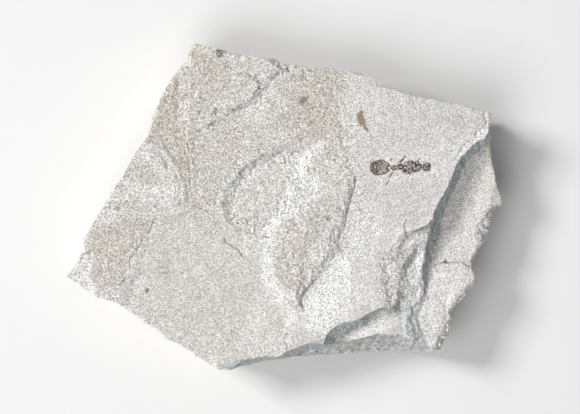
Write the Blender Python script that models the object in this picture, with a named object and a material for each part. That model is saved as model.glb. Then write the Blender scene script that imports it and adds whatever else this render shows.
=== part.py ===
"""A fossil ant in a broken slab of pale, fine-grained limestone.

The slab lies flat on its bedding plane, with +X along its longest side and +Z up, and its origin under
the middle of its outline. Its upper face is one sheet: a calm bedding surface that old and fresh breaks
step down from, flake by flake. The ant lies in a shallow bed near the right end, as thin plates of cuticle.
"""

import math
import random

import bmesh
import bpy
import numpy as np
from mathutils import Vector, noise
from mathutils.geometry import delaunay_2d_cdt

MM = 0.001
SEED = 7

# Driving dimensions of the slab, in millimetres. The outline is 78.8 mm long and 59.2 mm wide.
SLAB_LEVEL = 13.0
SWELL_HEIGHT = 0.3
SWELL_LENGTH = 22.0
EDGE_STEP = 1.25
EDGE_JAG = 0.22
RIM_WIDTH = 0.5
RIM_DROP = 0.22
GRID_STEP = 1.35
LEDGE_STEP = 1.1
LEAST_GAP = 0.62
UNDERCUT = 1.3
SIDE_LUMPS = 1.0
SIDE_BEDDING = 0.7
SIDE_FRACTIONS = (0.07, 0.21, 0.37, 0.53, 0.69, 0.84, 0.95, 1.0)
FOOT_CHAMFER = 0.6
WARP = 0.28
WARP_LENGTH = 3.2

# The broken outline of the slab seen from above, clockwise from its top left peak.
SLAB_OUTLINE = [
    (-16.3, 29.6), (-13.5, 28.7), (-10.8, 28.2), (-7.6, 27.4), (-4.5, 26.8), (-1.8, 26.7),
    (-1.1, 26.1), (3.0, 25.4), (6.6, 25.2), (11.5, 24.7), (13.8, 24.0), (15.8, 23.0), (18.0, 21.8),
    (20.7, 20.9), (24.3, 19.9), (30.4, 18.6), (33.6, 17.9), (37.2, 17.0), (37.0, 15.4), (37.0, 13.8),
    (37.4, 12.6), (37.0, 12.0), (37.3, 9.8), (37.8, 6.4), (38.7, 3.1), (39.4, 0.8), (39.1, 0.2),
    (37.9, -0.6), (37.2, -3.1), (36.5, -6.1), (35.8, -6.8), (34.5, -8.9), (33.7, -11.2),
    (34.4, -12.9), (34.0, -14.3), (33.0, -15.8), (31.5, -17.3), (30.3, -18.8), (30.1, -20.2),
    (30.0, -21.5), (29.6, -23.2), (28.0, -25.9), (26.2, -26.5), (21.6, -26.5), (15.3, -26.7),
    (9.9, -27.1), (4.8, -27.3), (0.0, -27.7), (-4.2, -28.3), (-6.7, -29.0), (-9.8, -29.6),
    (-11.9, -29.4), (-13.5, -28.6), (-16.2, -27.0), (-18.0, -25.6), (-21.1, -24.1), (-22.5, -22.8),
    (-25.2, -21.1), (-29.1, -18.3), (-30.3, -17.5), (-34.0, -16.4), (-36.4, -14.8), (-39.4, -12.6),
    (-37.8, -10.4), (-36.7, -8.4), (-36.4, -5.8), (-34.8, -3.1), (-33.7, -1.2), (-31.2, 2.9),
    (-27.8, 8.5), (-25.1, 12.6), (-24.1, 15.8), (-23.3, 17.9), (-21.9, 20.9), (-20.7, 22.9),
    (-18.8, 25.3), (-17.7, 26.6), (-17.1, 28.3),
]

# Cuts across the hollow, from the bottom up: their Y, the depth of the floor at the foot of the wall, the
# wall's width, the width of the steep lip at its top, and the share of the depth that the lip takes. The
# floor climbs again towards the sharp right rim, which it does only above the smooth tongue.
HOLLOW_CUTS = [
    (-26.0, 2.1, 2.0, 1.2, 0.55), (-19.0, 1.95, 2.0, 1.2, 0.55), (-16.5, 1.9, 1.3, 0.9, 0.75),
    (-14.5, 2.2, 1.2, 0.9, 0.8), (-12.0, 3.0, 1.8, 1.2, 0.75), (-9.0, 4.0, 2.5, 1.5, 0.78),
    (-5.0, 4.5, 4.7, 2.2, 0.76), (-2.0, 4.5, 5.4, 2.0, 0.7), (1.4, 4.3, 5.8, 1.5, 0.65),
    (7.6, 3.5, 4.6, 1.4, 0.73), (12.2, 2.4, 2.4, 1.4, 0.88),
]
HOLLOW_CLIMB = 0.22
TONGUE_TOP = -11.0
TONGUE_BLEND = 3.0

# The breaks in the upper face, in the order in which they came off. Each has the line where its wall
# starts, and the wall's width at its left and right ends. An offset raises or lowers what is there, for
# a flake left standing or a shallow scar, and may be tilted about a point, within its limits. A floor is
# a depth below the calm surface, at a point (x, y), and may get deeper for each millimetre along X and
# along Y. A line that leaves the outline runs off the slab.
BREAKS = {
    "band_by_the_left_edge": dict(
        line=[(-18.0, 26.6), (-18.9, 20.2), (-18.6, 15.8), (-17.7, 14.3), (-17.5, 11.2), (-17.3, 8.2),
              (-16.6, 5.0), (-16.1, 2.2), (-14.8, -0.3), (-17.9, 0.4), (-17.7, 3.1), (-19.5, 6.8),
              (-22.5, 10.9), (-24.7, 11.2), (-28.8, 13.0), (-24.3, 21.1), (-21.6, 26.6)],
        walls=(1.0, 1.0), offset=-0.2),
    "upper_scar": dict(
        line=[(3.2, 27.4), (3.4, 25.3), (4.8, 22.6), (9.0, 21.2), (10.2, 19.6), (10.4, 16.4),
              (10.6, 13.2), (10.9, 10.4), (8.0, 10.6), (2.7, 10.6), (-0.9, 10.4), (-4.2, 9.6),
              (-7.2, 7.6), (-9.5, 4.6), (-11.0, 1.0), (-13.5, -0.5), (-16.0, 2.2), (-17.0, 8.2),
              (-17.6, 13.0), (-12.0, 16.0), (-5.4, 19.0), (-3.0, 22.2), (-0.4, 24.6), (-0.4, 27.4)],
        walls=(0.8, 0.6), offset=-0.2),
    "wide_plate": dict(
        line=[(-23.4, -2.1), (-25.8, -5.8), (-26.1, -7.3), (-27.9, -9.4), (-28.1, -12.0),
              (-29.4, -13.6), (-29.0, -16.6), (-30.1, -20.2), (-22.5, -29.2), (-8.1, -33.8),
              (-4.2, -28.3), (0.0, -25.6), (2.7, -22.4), (2.3, -19.9), (0.9, -17.6), (-0.8, -15.2),
              (-1.8, -13.0), (-2.2, -10.2), (-3.5, -8.0), (-6.0, -6.4), (-8.5, -4.4), (-10.7, -2.6),
              (-13.2, -1.7), (-15.3, -1.0), (-20.7, -1.5)],
        walls=(1.8, 2.3), offset=-0.35),
    "middle_basin": dict(
        line=[(-4.2, 9.4), (-7.2, 7.6), (-9.0, 5.5), (-10.5, 3.1), (-11.6, 0.4), (-11.2, -1.0),
              (-10.3, -2.6), (-9.0, -4.0), (-5.1, -5.1), (-2.4, -5.1), (-0.8, -2.6), (0.7, -0.1),
              (3.2, 3.5), (4.6, 6.4), (5.5, 8.5), (7.3, 11.1), (5.4, 11.2), (2.7, 10.5), (-0.9, 10.3)],
        walls=(1.5, 2.6), offset=-0.8, point=(-10.0, 3.0), tilt=(0.09, -0.092), limits=(-0.95, -0.06)),
    "rib": dict(
        line=[(8.1, 10.3), (10.8, 9.4), (12.6, 7.6), (13.1, 5.3), (12.6, 3.1), (11.7, 0.8),
              (10.8, -3.7), (9.9, -5.3), (9.7, -6.8), (10.4, -8.0), (9.0, -9.4), (5.9, -12.5),
              (3.4, -16.3), (2.8, -18.8), (1.9, -18.4), (0.5, -16.3), (-0.8, -13.6), (-1.3, -10.9),
              (-1.8, -7.6), (-1.3, -5.0), (0.5, -1.3), (2.7, 1.7), (4.5, 5.0), (5.9, 8.2)],
        walls=(3.0, 0.9), offset=0.45, point=(12.0, 0.0), tilt=(0.0, -0.05), limits=(0.06, 0.6)),
    "top_left_flake": dict(
        line=[(-18.9, 31.9), (-1.3, 29.2), (-1.3, 26.2), (-0.4, 25.3), (-0.4, 24.2), (-2.4, 22.4),
              (-3.5, 22.2), (-4.5, 20.2), (-6.3, 18.4), (-9.4, 16.8), (-11.2, 16.6), (-15.3, 15.6),
              (-18.0, 14.8), (-19.1, 17.2), (-17.9, 20.2), (-17.1, 23.8), (-17.9, 26.6)],
        walls=(1.4, 1.2), offset=0.4),
    "left_flake": dict(
        line=[(-24.7, 10.7), (-22.9, 10.3), (-21.5, 8.9), (-19.8, 6.6), (-18.0, 4.0), (-18.0, 2.2),
              (-18.8, 0.6), (-22.5, 0.3), (-27.0, 0.4), (-29.7, 0.1), (-33.7, -1.0), (-37.8, -1.0),
              (-28.8, 13.0)],
        walls=(1.0, 1.0), offset=0.25),
    "left_corner": dict(
        line=[(-34.6, -7.6), (-34.4, -10.2), (-35.1, -12.2), (-34.1, -13.9), (-34.6, -18.4),
              (-42.3, -14.8), (-40.5, -9.8)],
        walls=(1.0, 1.0), offset=-0.4),
    "lower_left_bevel": dict(
        line=[(-21.1, -19.3), (-20.3, -21.5), (-18.8, -22.9), (-17.5, -24.0), (-16.0, -25.0),
              (-14.9, -26.1), (-13.2, -27.0), (-12.4, -28.0), (-12.3, -29.8), (-12.3, -34.6),
              (-27.9, -27.4), (-27.9, -21.1)],
        walls=(0.8, 0.8), offset=-0.45, point=(-16.0, -25.0), tilt=(0.0, 0.07), limits=(-0.6, -0.03)),
    "crumbled_corner": dict(
        line=[(36.0, 18.6), (35.6, 17.0), (35.9, 15.2), (34.4, 13.6), (33.3, 12.2), (32.1, 10.9),
              (31.0, 9.0), (33.0, 8.0), (38.7, 11.2), (40.5, 18.6)],
        walls=(0.6, 0.6), offset=-0.1, rough=0.09),
    "stepped_fracture": dict(
        line=[(26.1, -2.1), (25.2, -3.3), (24.2, -3.9), (22.8, -4.2), (21.6, -4.0), (20.4, -5.6),
              (19.0, -7.9), (17.4, -9.4), (16.8, -10.6), (17.1, -12.9), (17.6, -14.8), (17.4, -18.3),
              (18.7, -18.8), (19.2, -22.1), (18.5, -31.0), (29.7, -31.0), (29.7, -2.1)],
        walls=(1.2, 0.4), floor=0.1, point=(18.0, -7.6), deeper_x=0.16, deeper_y=-0.03, rough=0.07),
    "fracture_valley": dict(
        line=[(23.6, -7.2), (22.0, -9.0), (20.7, -11.6), (20.2, -14.6), (19.4, -17.8), (18.8, -21.0),
              (19.0, -25.5), (21.2, -25.8), (21.8, -22.0), (22.0, -19.0), (23.4, -17.0), (24.3, -14.0),
              (24.7, -10.8), (24.8, -8.2)],
        walls=(1.7, 1.7), offset=-0.75, rough=0.07),
    "hollow": dict(
        line=[(38.7, 17.2), (37.0, 15.4), (36.6, 13.9), (36.0, 12.9), (35.3, 12.1), (34.3, 12.0),
              (33.7, 11.1), (32.9, 10.1), (32.0, 8.6), (30.9, 7.1), (29.7, 5.0), (27.9, 1.3),
              (26.8, -1.3), (26.2, -2.8), (26.0, -4.6), (25.3, -7.3), (24.9, -10.3), (24.9, -13.5),
              (24.6, -15.5), (23.8, -17.0), (22.8, -18.6), (22.4, -20.6), (23.0, -23.2),
              (24.6, -26.2), (26.0, -31.0), (45.9, -31.0), (45.9, 17.2)],
        cuts=HOLLOW_CUTS),
    "right_bevel": dict(
        line=[(39.2, 0.2), (36.9, -0.3), (35.6, -0.8), (34.7, -3.1), (34.5, -5.0), (35.1, -6.8),
              (34.2, -7.6), (33.4, -9.8), (33.8, -11.2), (34.2, -12.7), (33.3, -13.8), (30.7, -16.5),
              (29.5, -18.8), (29.3, -20.2), (27.9, -23.3), (26.6, -26.2), (26.6, -31.0),
              (45.9, -31.0), (45.9, 0.3)],
        walls=(2.4, 2.4), offset=-1.05, limits=(-1.05, 0.0), rough=0.16),
    "wedge_ledge": dict(
        line=[(22.0, -19.0), (18.9, -18.6), (17.2, -18.3), (15.3, -19.0), (11.7, -20.4), (8.4, -22.1),
              (7.5, -22.9), (6.6, -24.6), (4.1, -24.2), (2.1, -24.9), (0.9, -25.6), (-1.7, -27.3),
              (-4.2, -27.5), (-7.8, -27.3), (-10.1, -29.4), (-11.7, -33.8), (22.0, -33.8)],
        walls=(1.2, 1.2), floor=2.5, point=(14.0, -22.0), deeper_x=-0.07, deeper_y=-0.03, ease=1.15),
    "lower_face": dict(
        line=[(-10.3, -29.8), (-8.1, -27.6), (-4.2, -27.8), (-1.3, -27.5), (0.9, -26.3), (3.6, -25.1),
              (6.3, -24.9), (9.9, -24.5), (13.5, -24.0), (17.1, -23.3), (20.7, -23.1), (23.4, -24.4),
              (26.1, -25.6), (28.8, -28.3), (28.8, -34.6), (-11.7, -34.6)],
        walls=(3.3, 3.3), floor=11.0, rough=0.3),
}
CALM_ROUGHNESS = 0.05
WALL_EASE = 1.8

# The ant lies along +X, its head to the right. A station is a cut across the body: its place along the
# body, its two edges and the height of its crown above them.
ANT_STATIONS = {
    "ant_gaster": [
        (15.29, 6.66, 7.38, 0.08), (15.49, 6.25, 7.79, 0.16), (15.80, 5.92, 8.12, 0.24),
        (16.25, 5.63, 8.37, 0.29), (16.52, 5.54, 8.44, 0.20), (16.88, 5.51, 8.48, 0.30),
        (17.33, 5.56, 8.42, 0.20), (17.69, 5.67, 8.32, 0.29), (17.96, 5.78, 8.19, 0.18),
        (18.32, 5.99, 7.99, 0.24), (18.68, 6.28, 7.65, 0.18), (18.91, 6.61, 7.25, 0.08)],
    "ant_petiole": [
        (19.05, 6.79, 7.18, 0.06), (19.25, 6.53, 7.42, 0.16), (19.58, 6.46, 7.49, 0.20),
        (19.90, 6.57, 7.36, 0.11), (20.12, 6.64, 7.43, 0.15), (20.48, 6.64, 7.51, 0.18),
        (20.85, 6.68, 7.40, 0.08)],
    "ant_mesosoma": [
        (21.00, 6.57, 7.36, 0.10), (21.20, 6.14, 7.90, 0.21), (21.56, 5.85, 8.19, 0.29),
        (22.01, 5.78, 8.30, 0.32), (22.46, 5.85, 8.19, 0.29), (22.74, 5.99, 8.05, 0.20),
        (23.09, 5.92, 8.21, 0.30), (23.54, 5.96, 8.26, 0.32), (23.99, 6.10, 8.08, 0.29),
        (24.35, 6.39, 7.69, 0.21), (24.60, 6.57, 7.29, 0.08)],
    "ant_head": [
        (24.73, 6.64, 7.40, 0.10), (24.94, 6.46, 7.76, 0.21), (25.34, 6.39, 7.92, 0.28),
        (25.77, 6.50, 7.79, 0.25), (25.98, 6.75, 7.51, 0.17), (26.09, 6.93, 7.29, 0.08)],
}

# The leg fragments: the middle line of each, with its width at each point.
LEG_PATHS = {
    "ant_leg_upper": [(20.53, 7.87, 0.29), (21.02, 8.32, 0.32), (21.66, 9.13, 0.18)],
    "ant_leg_lower": [(19.43, 6.20, 0.29), (19.07, 5.81, 0.27), (18.86, 5.24, 0.18)],
    "ant_leg_lower_tip": [(18.68, 4.77, 0.20), (18.21, 3.94, 0.14)],
}
LEG_CROWN = 0.09

# The shallow bed that the cuticle lies in, and the air left around it.
BED_DEPTH = 0.14
BED_CLEARANCE = 0.04
FILM_LIFT = 0.03
FILM_EDGE = 0.13
QUIET_CENTRE = (20.7, 6.8)
QUIET_RADIUS = 7.5
QUIET_FADE = 4.0


def clear_scene():
    """Remove every object, so that the part is built in an empty scene."""
    for item in list(bpy.data.objects):
        bpy.data.objects.remove(item, do_unlink=True)


def new_collection(name):
    collection = bpy.data.collections.new(name)
    bpy.context.scene.collection.children.link(collection)
    return collection


def new_object(name, builder, collection, material=None):
    """Turn a bmesh in millimetres into a named object in metres."""
    bmesh.ops.recalc_face_normals(builder, faces=builder.faces)
    bmesh.ops.scale(builder, vec=(MM, MM, MM), verts=builder.verts)
    mesh = bpy.data.meshes.new(name)
    builder.to_mesh(mesh)
    builder.free()
    item = bpy.data.objects.new(name, mesh)
    collection.objects.link(item)
    if material:
        mesh.materials.append(material)
    return item


def principled(name, color, roughness):
    material = bpy.data.materials.new(name)
    material.use_nodes = True
    shader = material.node_tree.nodes["Principled BSDF"]
    shader.inputs["Base Color"].default_value = (*color, 1.0)
    shader.inputs["Roughness"].default_value = roughness
    shader.inputs["Metallic"].default_value = 0.0
    return material


def ease(share):
    """A smooth step from 0 to 1."""
    share = np.clip(share, 0.0, 1.0)
    return share * share * (3.0 - 2.0 * share)


def ripple(points, length, key):
    """Smooth noise between about -1 and 1 at each point, with features of the given length."""
    return np.array([2.0 * noise.noise(Vector((x / length, y / length, key))) for x, y in points])


def warped(points):
    """Move points a little, so that a line drawn with straight stretches breaks as stone does."""
    shift = np.column_stack((ripple(points, WARP_LENGTH, 3.5), ripple(points, WARP_LENGTH, 9.5)))
    return points + WARP * shift


def unwarped(points):
    """The places that `warped` moves onto the given points, to within a few hundredths."""
    guess = points
    for _ in range(3):
        guess = guess - (warped(guess) - points)
    return guess


def inside_distance(points, line):
    """The distance from each point to a closed line, positive inside it."""
    corners = np.array(line)
    nearest = np.full(len(points), np.inf)
    inside = np.zeros(len(points), dtype=bool)
    for start, end in zip(corners, np.roll(corners, -1, axis=0)):
        along = end - start
        share = np.clip((points - start) @ along / (along @ along), 0.0, 1.0)
        offset = points - start - share[:, None] * along
        nearest = np.minimum(nearest, np.hypot(offset[:, 0], offset[:, 1]))
        if start[1] != end[1]:
            crossing = start[0] + (points[:, 1] - start[1]) * along[0] / along[1]
            spans = (start[1] > points[:, 1]) != (end[1] > points[:, 1])
            inside ^= spans & (points[:, 0] < crossing)
    return np.where(inside, nearest, -nearest)


def cut_values(points, cuts):
    """The depth, the wall's width, the lip's width and its share of the depth, between a hollow's cuts."""
    places, *columns = zip(*cuts)
    return [np.interp(points[:, 1], places, column) for column in columns]


def wall_width(points, shape):
    """The width of a break's wall at each point, between its left and right ends."""
    if "cuts" in shape:
        return cut_values(points, shape["cuts"])[1]
    ends = [x for x, y in shape["line"]]
    share = (points[:, 0] - min(ends)) / (max(ends) - min(ends))
    return shape["walls"][0] + (shape["walls"][1] - shape["walls"][0]) * ease(share)


def wall_drop(points, distance, width, shape):
    """The share of its depth that a break has come down: steep below a sharp lip, then easing out."""
    if "cuts" in shape:
        _, _, lip, lip_share = cut_values(points, shape["cuts"])
        steep = 1.0 - (1.0 - np.clip(distance / lip, 0.0, 1.0)) ** 1.15
        gentle = 1.0 - (1.0 - np.clip((distance - lip) / (width - lip), 0.0, 1.0)) ** 2
        return lip_share * steep + (1.0 - lip_share) * gentle
    share = np.clip(distance / width, 0.0, 1.0)
    if shape.get("offset", -1.0) > 0.0:
        return share ** WALL_EASE
    return 1.0 - (1.0 - share) ** shape.get("ease", WALL_EASE)


def offset_of(points, shape):
    """How far a shallow break raises or lowers each point, where it may be tilted."""
    x, y = shape.get("point", (0.0, 0.0))
    slope_x, slope_y = shape.get("tilt", (0.0, 0.0))
    change = shape["offset"] + slope_x * (points[:, 0] - x) + slope_y * (points[:, 1] - y)
    return np.clip(change, *shape.get("limits", (-1.0, 1.0)))


def floor_height(points, distance, width, shape):
    """The height of a break's floor at each point."""
    if "cuts" in shape:
        foot = cut_values(points, shape["cuts"])[0]
        climb = HOLLOW_CLIMB * ease((points[:, 1] - TONGUE_TOP) / TONGUE_BLEND)
        return SLAB_LEVEL - foot + climb * np.maximum(distance - width, 0.0)
    x, y = shape.get("point", (0.0, 0.0))
    depth = shape["floor"] + shape.get("deeper_x", 0.0) * (points[:, 0] - x)
    return SLAB_LEVEL - depth - shape.get("deeper_y", 0.0) * (points[:, 1] - y)


def surface_height(points):
    """The height of the slab's upper face, in millimetres, at each (x, y)."""
    from_ant = np.hypot(points[:, 0] - QUIET_CENTRE[0], points[:, 1] - QUIET_CENTRE[1])
    loud = ease((from_ant - QUIET_RADIUS) / QUIET_FADE)
    height = SLAB_LEVEL + loud * SWELL_HEIGHT * ripple(points, SWELL_LENGTH, 1.5)
    rough = CALM_ROUGHNESS * loud
    bent = warped(points)
    for shape in BREAKS.values():
        distance = inside_distance(bent, shape["line"])
        width = wall_width(points, shape)
        down = wall_drop(points, distance, width, shape)
        if "offset" in shape:
            height = height + offset_of(points, shape) * down
        else:
            floor = floor_height(points, distance, width, shape)
            height = height + (np.minimum(floor, height) - height) * down
        rough = rough + (shape.get("rough", CALM_ROUGHNESS) - rough) * down * loud
    rim = inside_distance(points, SLAB_OUTLINE)
    height = height - RIM_DROP * (1.0 - ease(rim / RIM_WIDTH)) * (1.0 + ripple(points, 1.9, 6.5))
    return height + rough * (ripple(points, 1.7, 21.5) + 0.5 * ripple(points, 0.8, 33.5))


def along_line(line, step):
    """Points and inward normals along a closed line, at about the given step."""
    corners = np.array(line)
    following = np.roll(corners, -1, axis=0)
    turn = np.sum(corners[:, 0] * following[:, 1] - following[:, 0] * corners[:, 1])
    points = []
    normals = []
    for start, end in zip(corners, following):
        along = end - start
        length = math.hypot(*along)
        count = max(1, round(length / step))
        normal = np.array((-along[1], along[0])) / length * math.copysign(1.0, turn)
        for index in range(count):
            points.append(start + along * index / count)
            normals.append(normal)
    return np.array(points), np.array(normals)


def broken_outline():
    """The slab's outline with small inward nicks between its corners."""
    points, normals = along_line(SLAB_OUTLINE, EDGE_STEP)
    corners = {tuple(corner) for corner in SLAB_OUTLINE}
    picker = random.Random(SEED)
    for index, (point, normal) in enumerate(zip(points, normals)):
        if tuple(point) not in corners:
            points[index] = point + normal * EDGE_JAG * picker.random()
    return points


def ledge_points():
    """Points along the top and the foot of every break's wall."""
    found = []
    for shape in BREAKS.values():
        tops, normals = along_line(shape["line"], LEDGE_STEP)
        width = wall_width(tops, shape)
        found.append(tops)
        steps = [0.5 * width, width] if width.max() > 1.6 else [width]
        if "cuts" in shape:
            lip = cut_values(tops, shape["cuts"])[2]
            steps = [lip, 0.5 * (lip + width), width]
        for step in steps:
            feet = tops + normals * step[:, None]
            apart = inside_distance(feet, shape["line"])
            found.append(feet[apart > 0.8 * step])
    return unwarped(np.concatenate(found))


def grid_points():
    """Loosely spaced points over the whole slab."""
    picker = random.Random(SEED + 1)
    reach = max(abs(value) for corner in SLAB_OUTLINE for value in corner)
    count = math.ceil(reach / GRID_STEP)
    found = []
    for row in range(-count, count + 1):
        for column in range(-count, count + 1):
            shift = 0.5 * (row % 2)
            x = (column + shift + 0.3 * (picker.random() - 0.5)) * GRID_STEP
            y = (row + 0.3 * (picker.random() - 0.5)) * GRID_STEP * math.sqrt(0.75)
            found.append((x, y))
    return np.array(found)


def spaced(groups, least):
    """Join groups of points, leaving out each that is too near one that is already kept."""
    kept = []
    cells = {}
    around = [(i, j) for i in (-1, 0, 1) for j in (-1, 0, 1)]
    for point in np.concatenate(groups):
        column = math.floor(point[0] / least)
        row = math.floor(point[1] / least)
        near = [other for i, j in around for other in cells.get((column + i, row + j), [])]
        if all(math.dist(point, other) >= least for other in near):
            cells.setdefault((column, row), []).append(point)
            kept.append(point)
    return np.array(kept)


def slab_blank(collection, material):
    """The slab: its upper face as one sheet, its broken sides as rings, and its flat underside."""
    outline = broken_outline()
    inner = np.concatenate((ledge_points(), grid_points()))
    inner = inner[inside_distance(inner, outline) > RIM_WIDTH + 0.4]
    rim, normals = along_line(outline, EDGE_STEP)
    rim = rim + normals * RIM_WIDTH
    rim = rim[inside_distance(rim, outline) > 0.8 * RIM_WIDTH]
    inner = spaced((rim, inner), LEAST_GAP)
    flat = np.concatenate((outline, inner))
    edges = [(index, (index + 1) % len(outline)) for index in range(len(outline))]
    sheet = delaunay_2d_cdt([Vector(point) for point in flat], edges, [], 1, 1e-6)
    places = np.array([tuple(point) for point in sheet[0]])
    sources = sheet[3]

    builder = bmesh.new()
    for (x, y), z in zip(places, surface_height(places)):
        builder.verts.new((x, y, z))
    builder.verts.ensure_lookup_table()
    for face in sheet[2]:
        builder.faces.new([builder.verts[index] for index in face])
    top_ring = [None] * len(outline)
    for vertex, source in zip(builder.verts, sources):
        for index in source:
            if index < len(outline):
                top_ring[index] = vertex
    add_sides(builder, outline, top_ring)
    return new_object("slab", builder, collection, material)


def add_sides(builder, outline, top_ring):
    """Loft the broken sides from the upper face's edge down to the flat underside."""
    count = len(outline)
    tangents = np.roll(outline, -2, axis=0) - np.roll(outline, 2, axis=0)
    inward = np.column_stack((tangents[:, 1], -tangents[:, 0]))
    inward = inward / np.hypot(inward[:, 0], inward[:, 1])[:, None]
    lean = 0.5 + 0.5 * ripple(outline, 9.0, 14.5)
    upper = top_ring
    for fraction in SIDE_FRACTIONS:
        ring = []
        for index, (x, y) in enumerate(outline):
            z = top_ring[index].co.z * (1.0 - fraction)
            lump = SIDE_LUMPS * (0.5 + noise.noise(Vector((x / 2.9, y / 2.9, z / 2.4))))
            bedding = SIDE_BEDDING * (0.5 + noise.noise(Vector((x / 11.0, y / 11.0, z / 1.1))))
            inset = UNDERCUT * fraction * lean[index] + (lump + bedding) * min(1.0, 5.0 * fraction)
            if fraction == 1.0:
                inset += FOOT_CHAMFER
            ring.append(builder.verts.new((x + inward[index][0] * inset, y + inward[index][1] * inset, z)))
        for index in range(count):
            after = (index + 1) % count
            builder.faces.new((upper[index], upper[after], ring[after], ring[index]))
        upper = ring
    builder.faces.new(upper)


def prism(name, outline, bottom, top, collection):
    """A cutter with straight sides over a closed outline."""
    builder = bmesh.new()
    base = builder.faces.new([builder.verts.new((x, y, bottom)) for x, y in outline])
    grown = bmesh.ops.extrude_face_region(builder, geom=[base])
    upper = [item for item in grown["geom"] if isinstance(item, bmesh.types.BMVert)]
    bmesh.ops.translate(builder, vec=(0.0, 0.0, top - bottom), verts=upper)
    cutter = new_object(name, builder, collection)
    cutter.hide_render = True
    cutter.display_type = "WIRE"
    return cutter


def carve(body, cutter):
    cut = body.modifiers.new(cutter.name, "BOOLEAN")
    cut.operation = "DIFFERENCE"
    cut.solver = "EXACT"
    cut.object = cutter


def cuticle_plate(name, cuts, shares, collection, material):
    """A thin crowned plate lofted through cuts, each with two edge points and a crown height."""
    base = SLAB_LEVEL - BED_DEPTH + FILM_LIFT
    builder = bmesh.new()
    rings = []
    for first, second, crown in cuts:
        ring = [builder.verts.new((*first, base))]
        for share in shares:
            x, y = (1.0 - share) * np.array(first) + share * np.array(second)
            arch = math.sqrt(max(0.0, 1.0 - (2.0 * share - 1.0) ** 2))
            ring.append(builder.verts.new((x, y, base + FILM_EDGE + crown * arch)))
        ring.append(builder.verts.new((*second, base)))
        rings.append(ring)
    for ring, after in zip(rings, rings[1:]):
        for index in range(len(ring)):
            beside = (index + 1) % len(ring)
            builder.faces.new((ring[index], ring[beside], after[beside], after[index]))
    builder.faces.new(rings[0])
    builder.faces.new(rings[-1])
    return new_object(name, builder, collection, material)


def body_cuts(stations):
    return [((x, low), (x, high), crown) for x, low, high, crown in stations]


def leg_cuts(path, extra=0.0):
    """Cuts across a leg, square to its middle line."""
    cuts = []
    for index, (x, y, width) in enumerate(path):
        before = path[max(index - 1, 0)]
        after = path[min(index + 1, len(path) - 1)]
        along = Vector((after[0] - before[0], after[1] - before[1])).normalized()
        half = 0.5 * width + extra
        end = extra * ((index == len(path) - 1) - (index == 0))
        middle = Vector((x, y)) + along * end
        side = Vector((-along.y, along.x)) * half
        cuts.append((tuple(middle - side), tuple(middle + side), LEG_CROWN))
    return cuts


def outline_of(cuts):
    return [first for first, second, crown in cuts] + [second for first, second, crown in reversed(cuts)]


def body_bed_outline():
    """The bed's outline around the whole body, a little wider than the plates."""
    stations = [station for plate in ANT_STATIONS.values() for station in plate]
    grown = []
    for index, (x, low, high, crown) in enumerate(stations):
        end = BED_CLEARANCE * ((index == len(stations) - 1) - (index == 0))
        grown.append((x + end, low - BED_CLEARANCE, high + BED_CLEARANCE, crown))
    return outline_of(body_cuts(grown))


def build():
    clear_scene()
    part = new_collection("fossil_ant")
    cutters = new_collection("cutters")
    stone = principled("limestone", (0.604, 0.584, 0.558), 0.9)
    cuticle = principled("carbonised_cuticle", (0.165, 0.125, 0.105), 0.6)

    slab = slab_blank(part, stone)
    floor = SLAB_LEVEL - BED_DEPTH
    above = SLAB_LEVEL + 1.0
    carve(slab, prism("body_bed", body_bed_outline(), floor, above, cutters))
    for name, stations in ANT_STATIONS.items():
        cuticle_plate(name, body_cuts(stations), (0.0, 0.15, 0.5, 0.85, 1.0), part, cuticle)
    for name, path in LEG_PATHS.items():
        cuticle_plate(name, leg_cuts(path), (0.0, 0.5, 1.0), part, cuticle)
        bed = outline_of(leg_cuts(path, BED_CLEARANCE))
        carve(slab, prism(name + "_bed", bed, floor, above, cutters))


build()
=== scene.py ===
"""Dress a fossil ant in its broken slab of pale, fine-grained limestone.

The slab's solid and the ant's plates are replaced by finely broken ones of the same shape. The
slab's upper face is one sheet that flakes, scars and cracks step down from, and the ant's plates
lie in it. Run as a script, it loads the frame, makes each piece with its operator and sets the
stage.
"""

import math
import random

import bpy
import numpy as np
from bpy.props import FloatProperty, FloatVectorProperty, IntProperty, PointerProperty
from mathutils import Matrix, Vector, kdtree, noise
from mathutils.geometry import delaunay_2d_cdt


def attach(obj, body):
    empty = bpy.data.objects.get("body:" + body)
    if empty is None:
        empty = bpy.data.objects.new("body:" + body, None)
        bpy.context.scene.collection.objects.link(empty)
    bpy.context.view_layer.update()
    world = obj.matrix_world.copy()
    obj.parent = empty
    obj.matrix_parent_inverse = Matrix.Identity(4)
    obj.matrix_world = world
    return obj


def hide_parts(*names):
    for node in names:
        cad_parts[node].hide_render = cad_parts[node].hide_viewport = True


bl_info = {
    "name": "Fossil Ant Slab",
    "version": (1, 0, 0),
    "blender": (4, 5, 0),
    "location": "3D View > Sidebar > Fossil",
    "description": "Dresses a fossil ant in a broken slab of pale limestone",
    "category": "Object",
}

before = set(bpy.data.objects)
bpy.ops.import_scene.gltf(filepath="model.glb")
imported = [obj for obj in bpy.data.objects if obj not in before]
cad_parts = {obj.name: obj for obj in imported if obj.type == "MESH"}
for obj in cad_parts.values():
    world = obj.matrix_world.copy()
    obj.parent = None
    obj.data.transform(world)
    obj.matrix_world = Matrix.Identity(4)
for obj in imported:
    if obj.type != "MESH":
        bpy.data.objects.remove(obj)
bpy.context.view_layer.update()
MM = 0.001
SEED = 7

# --- The slab, in millimetres: its origin is under the middle of its outline, on its underside. ---

SLAB_LEVEL = 13.0

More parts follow.
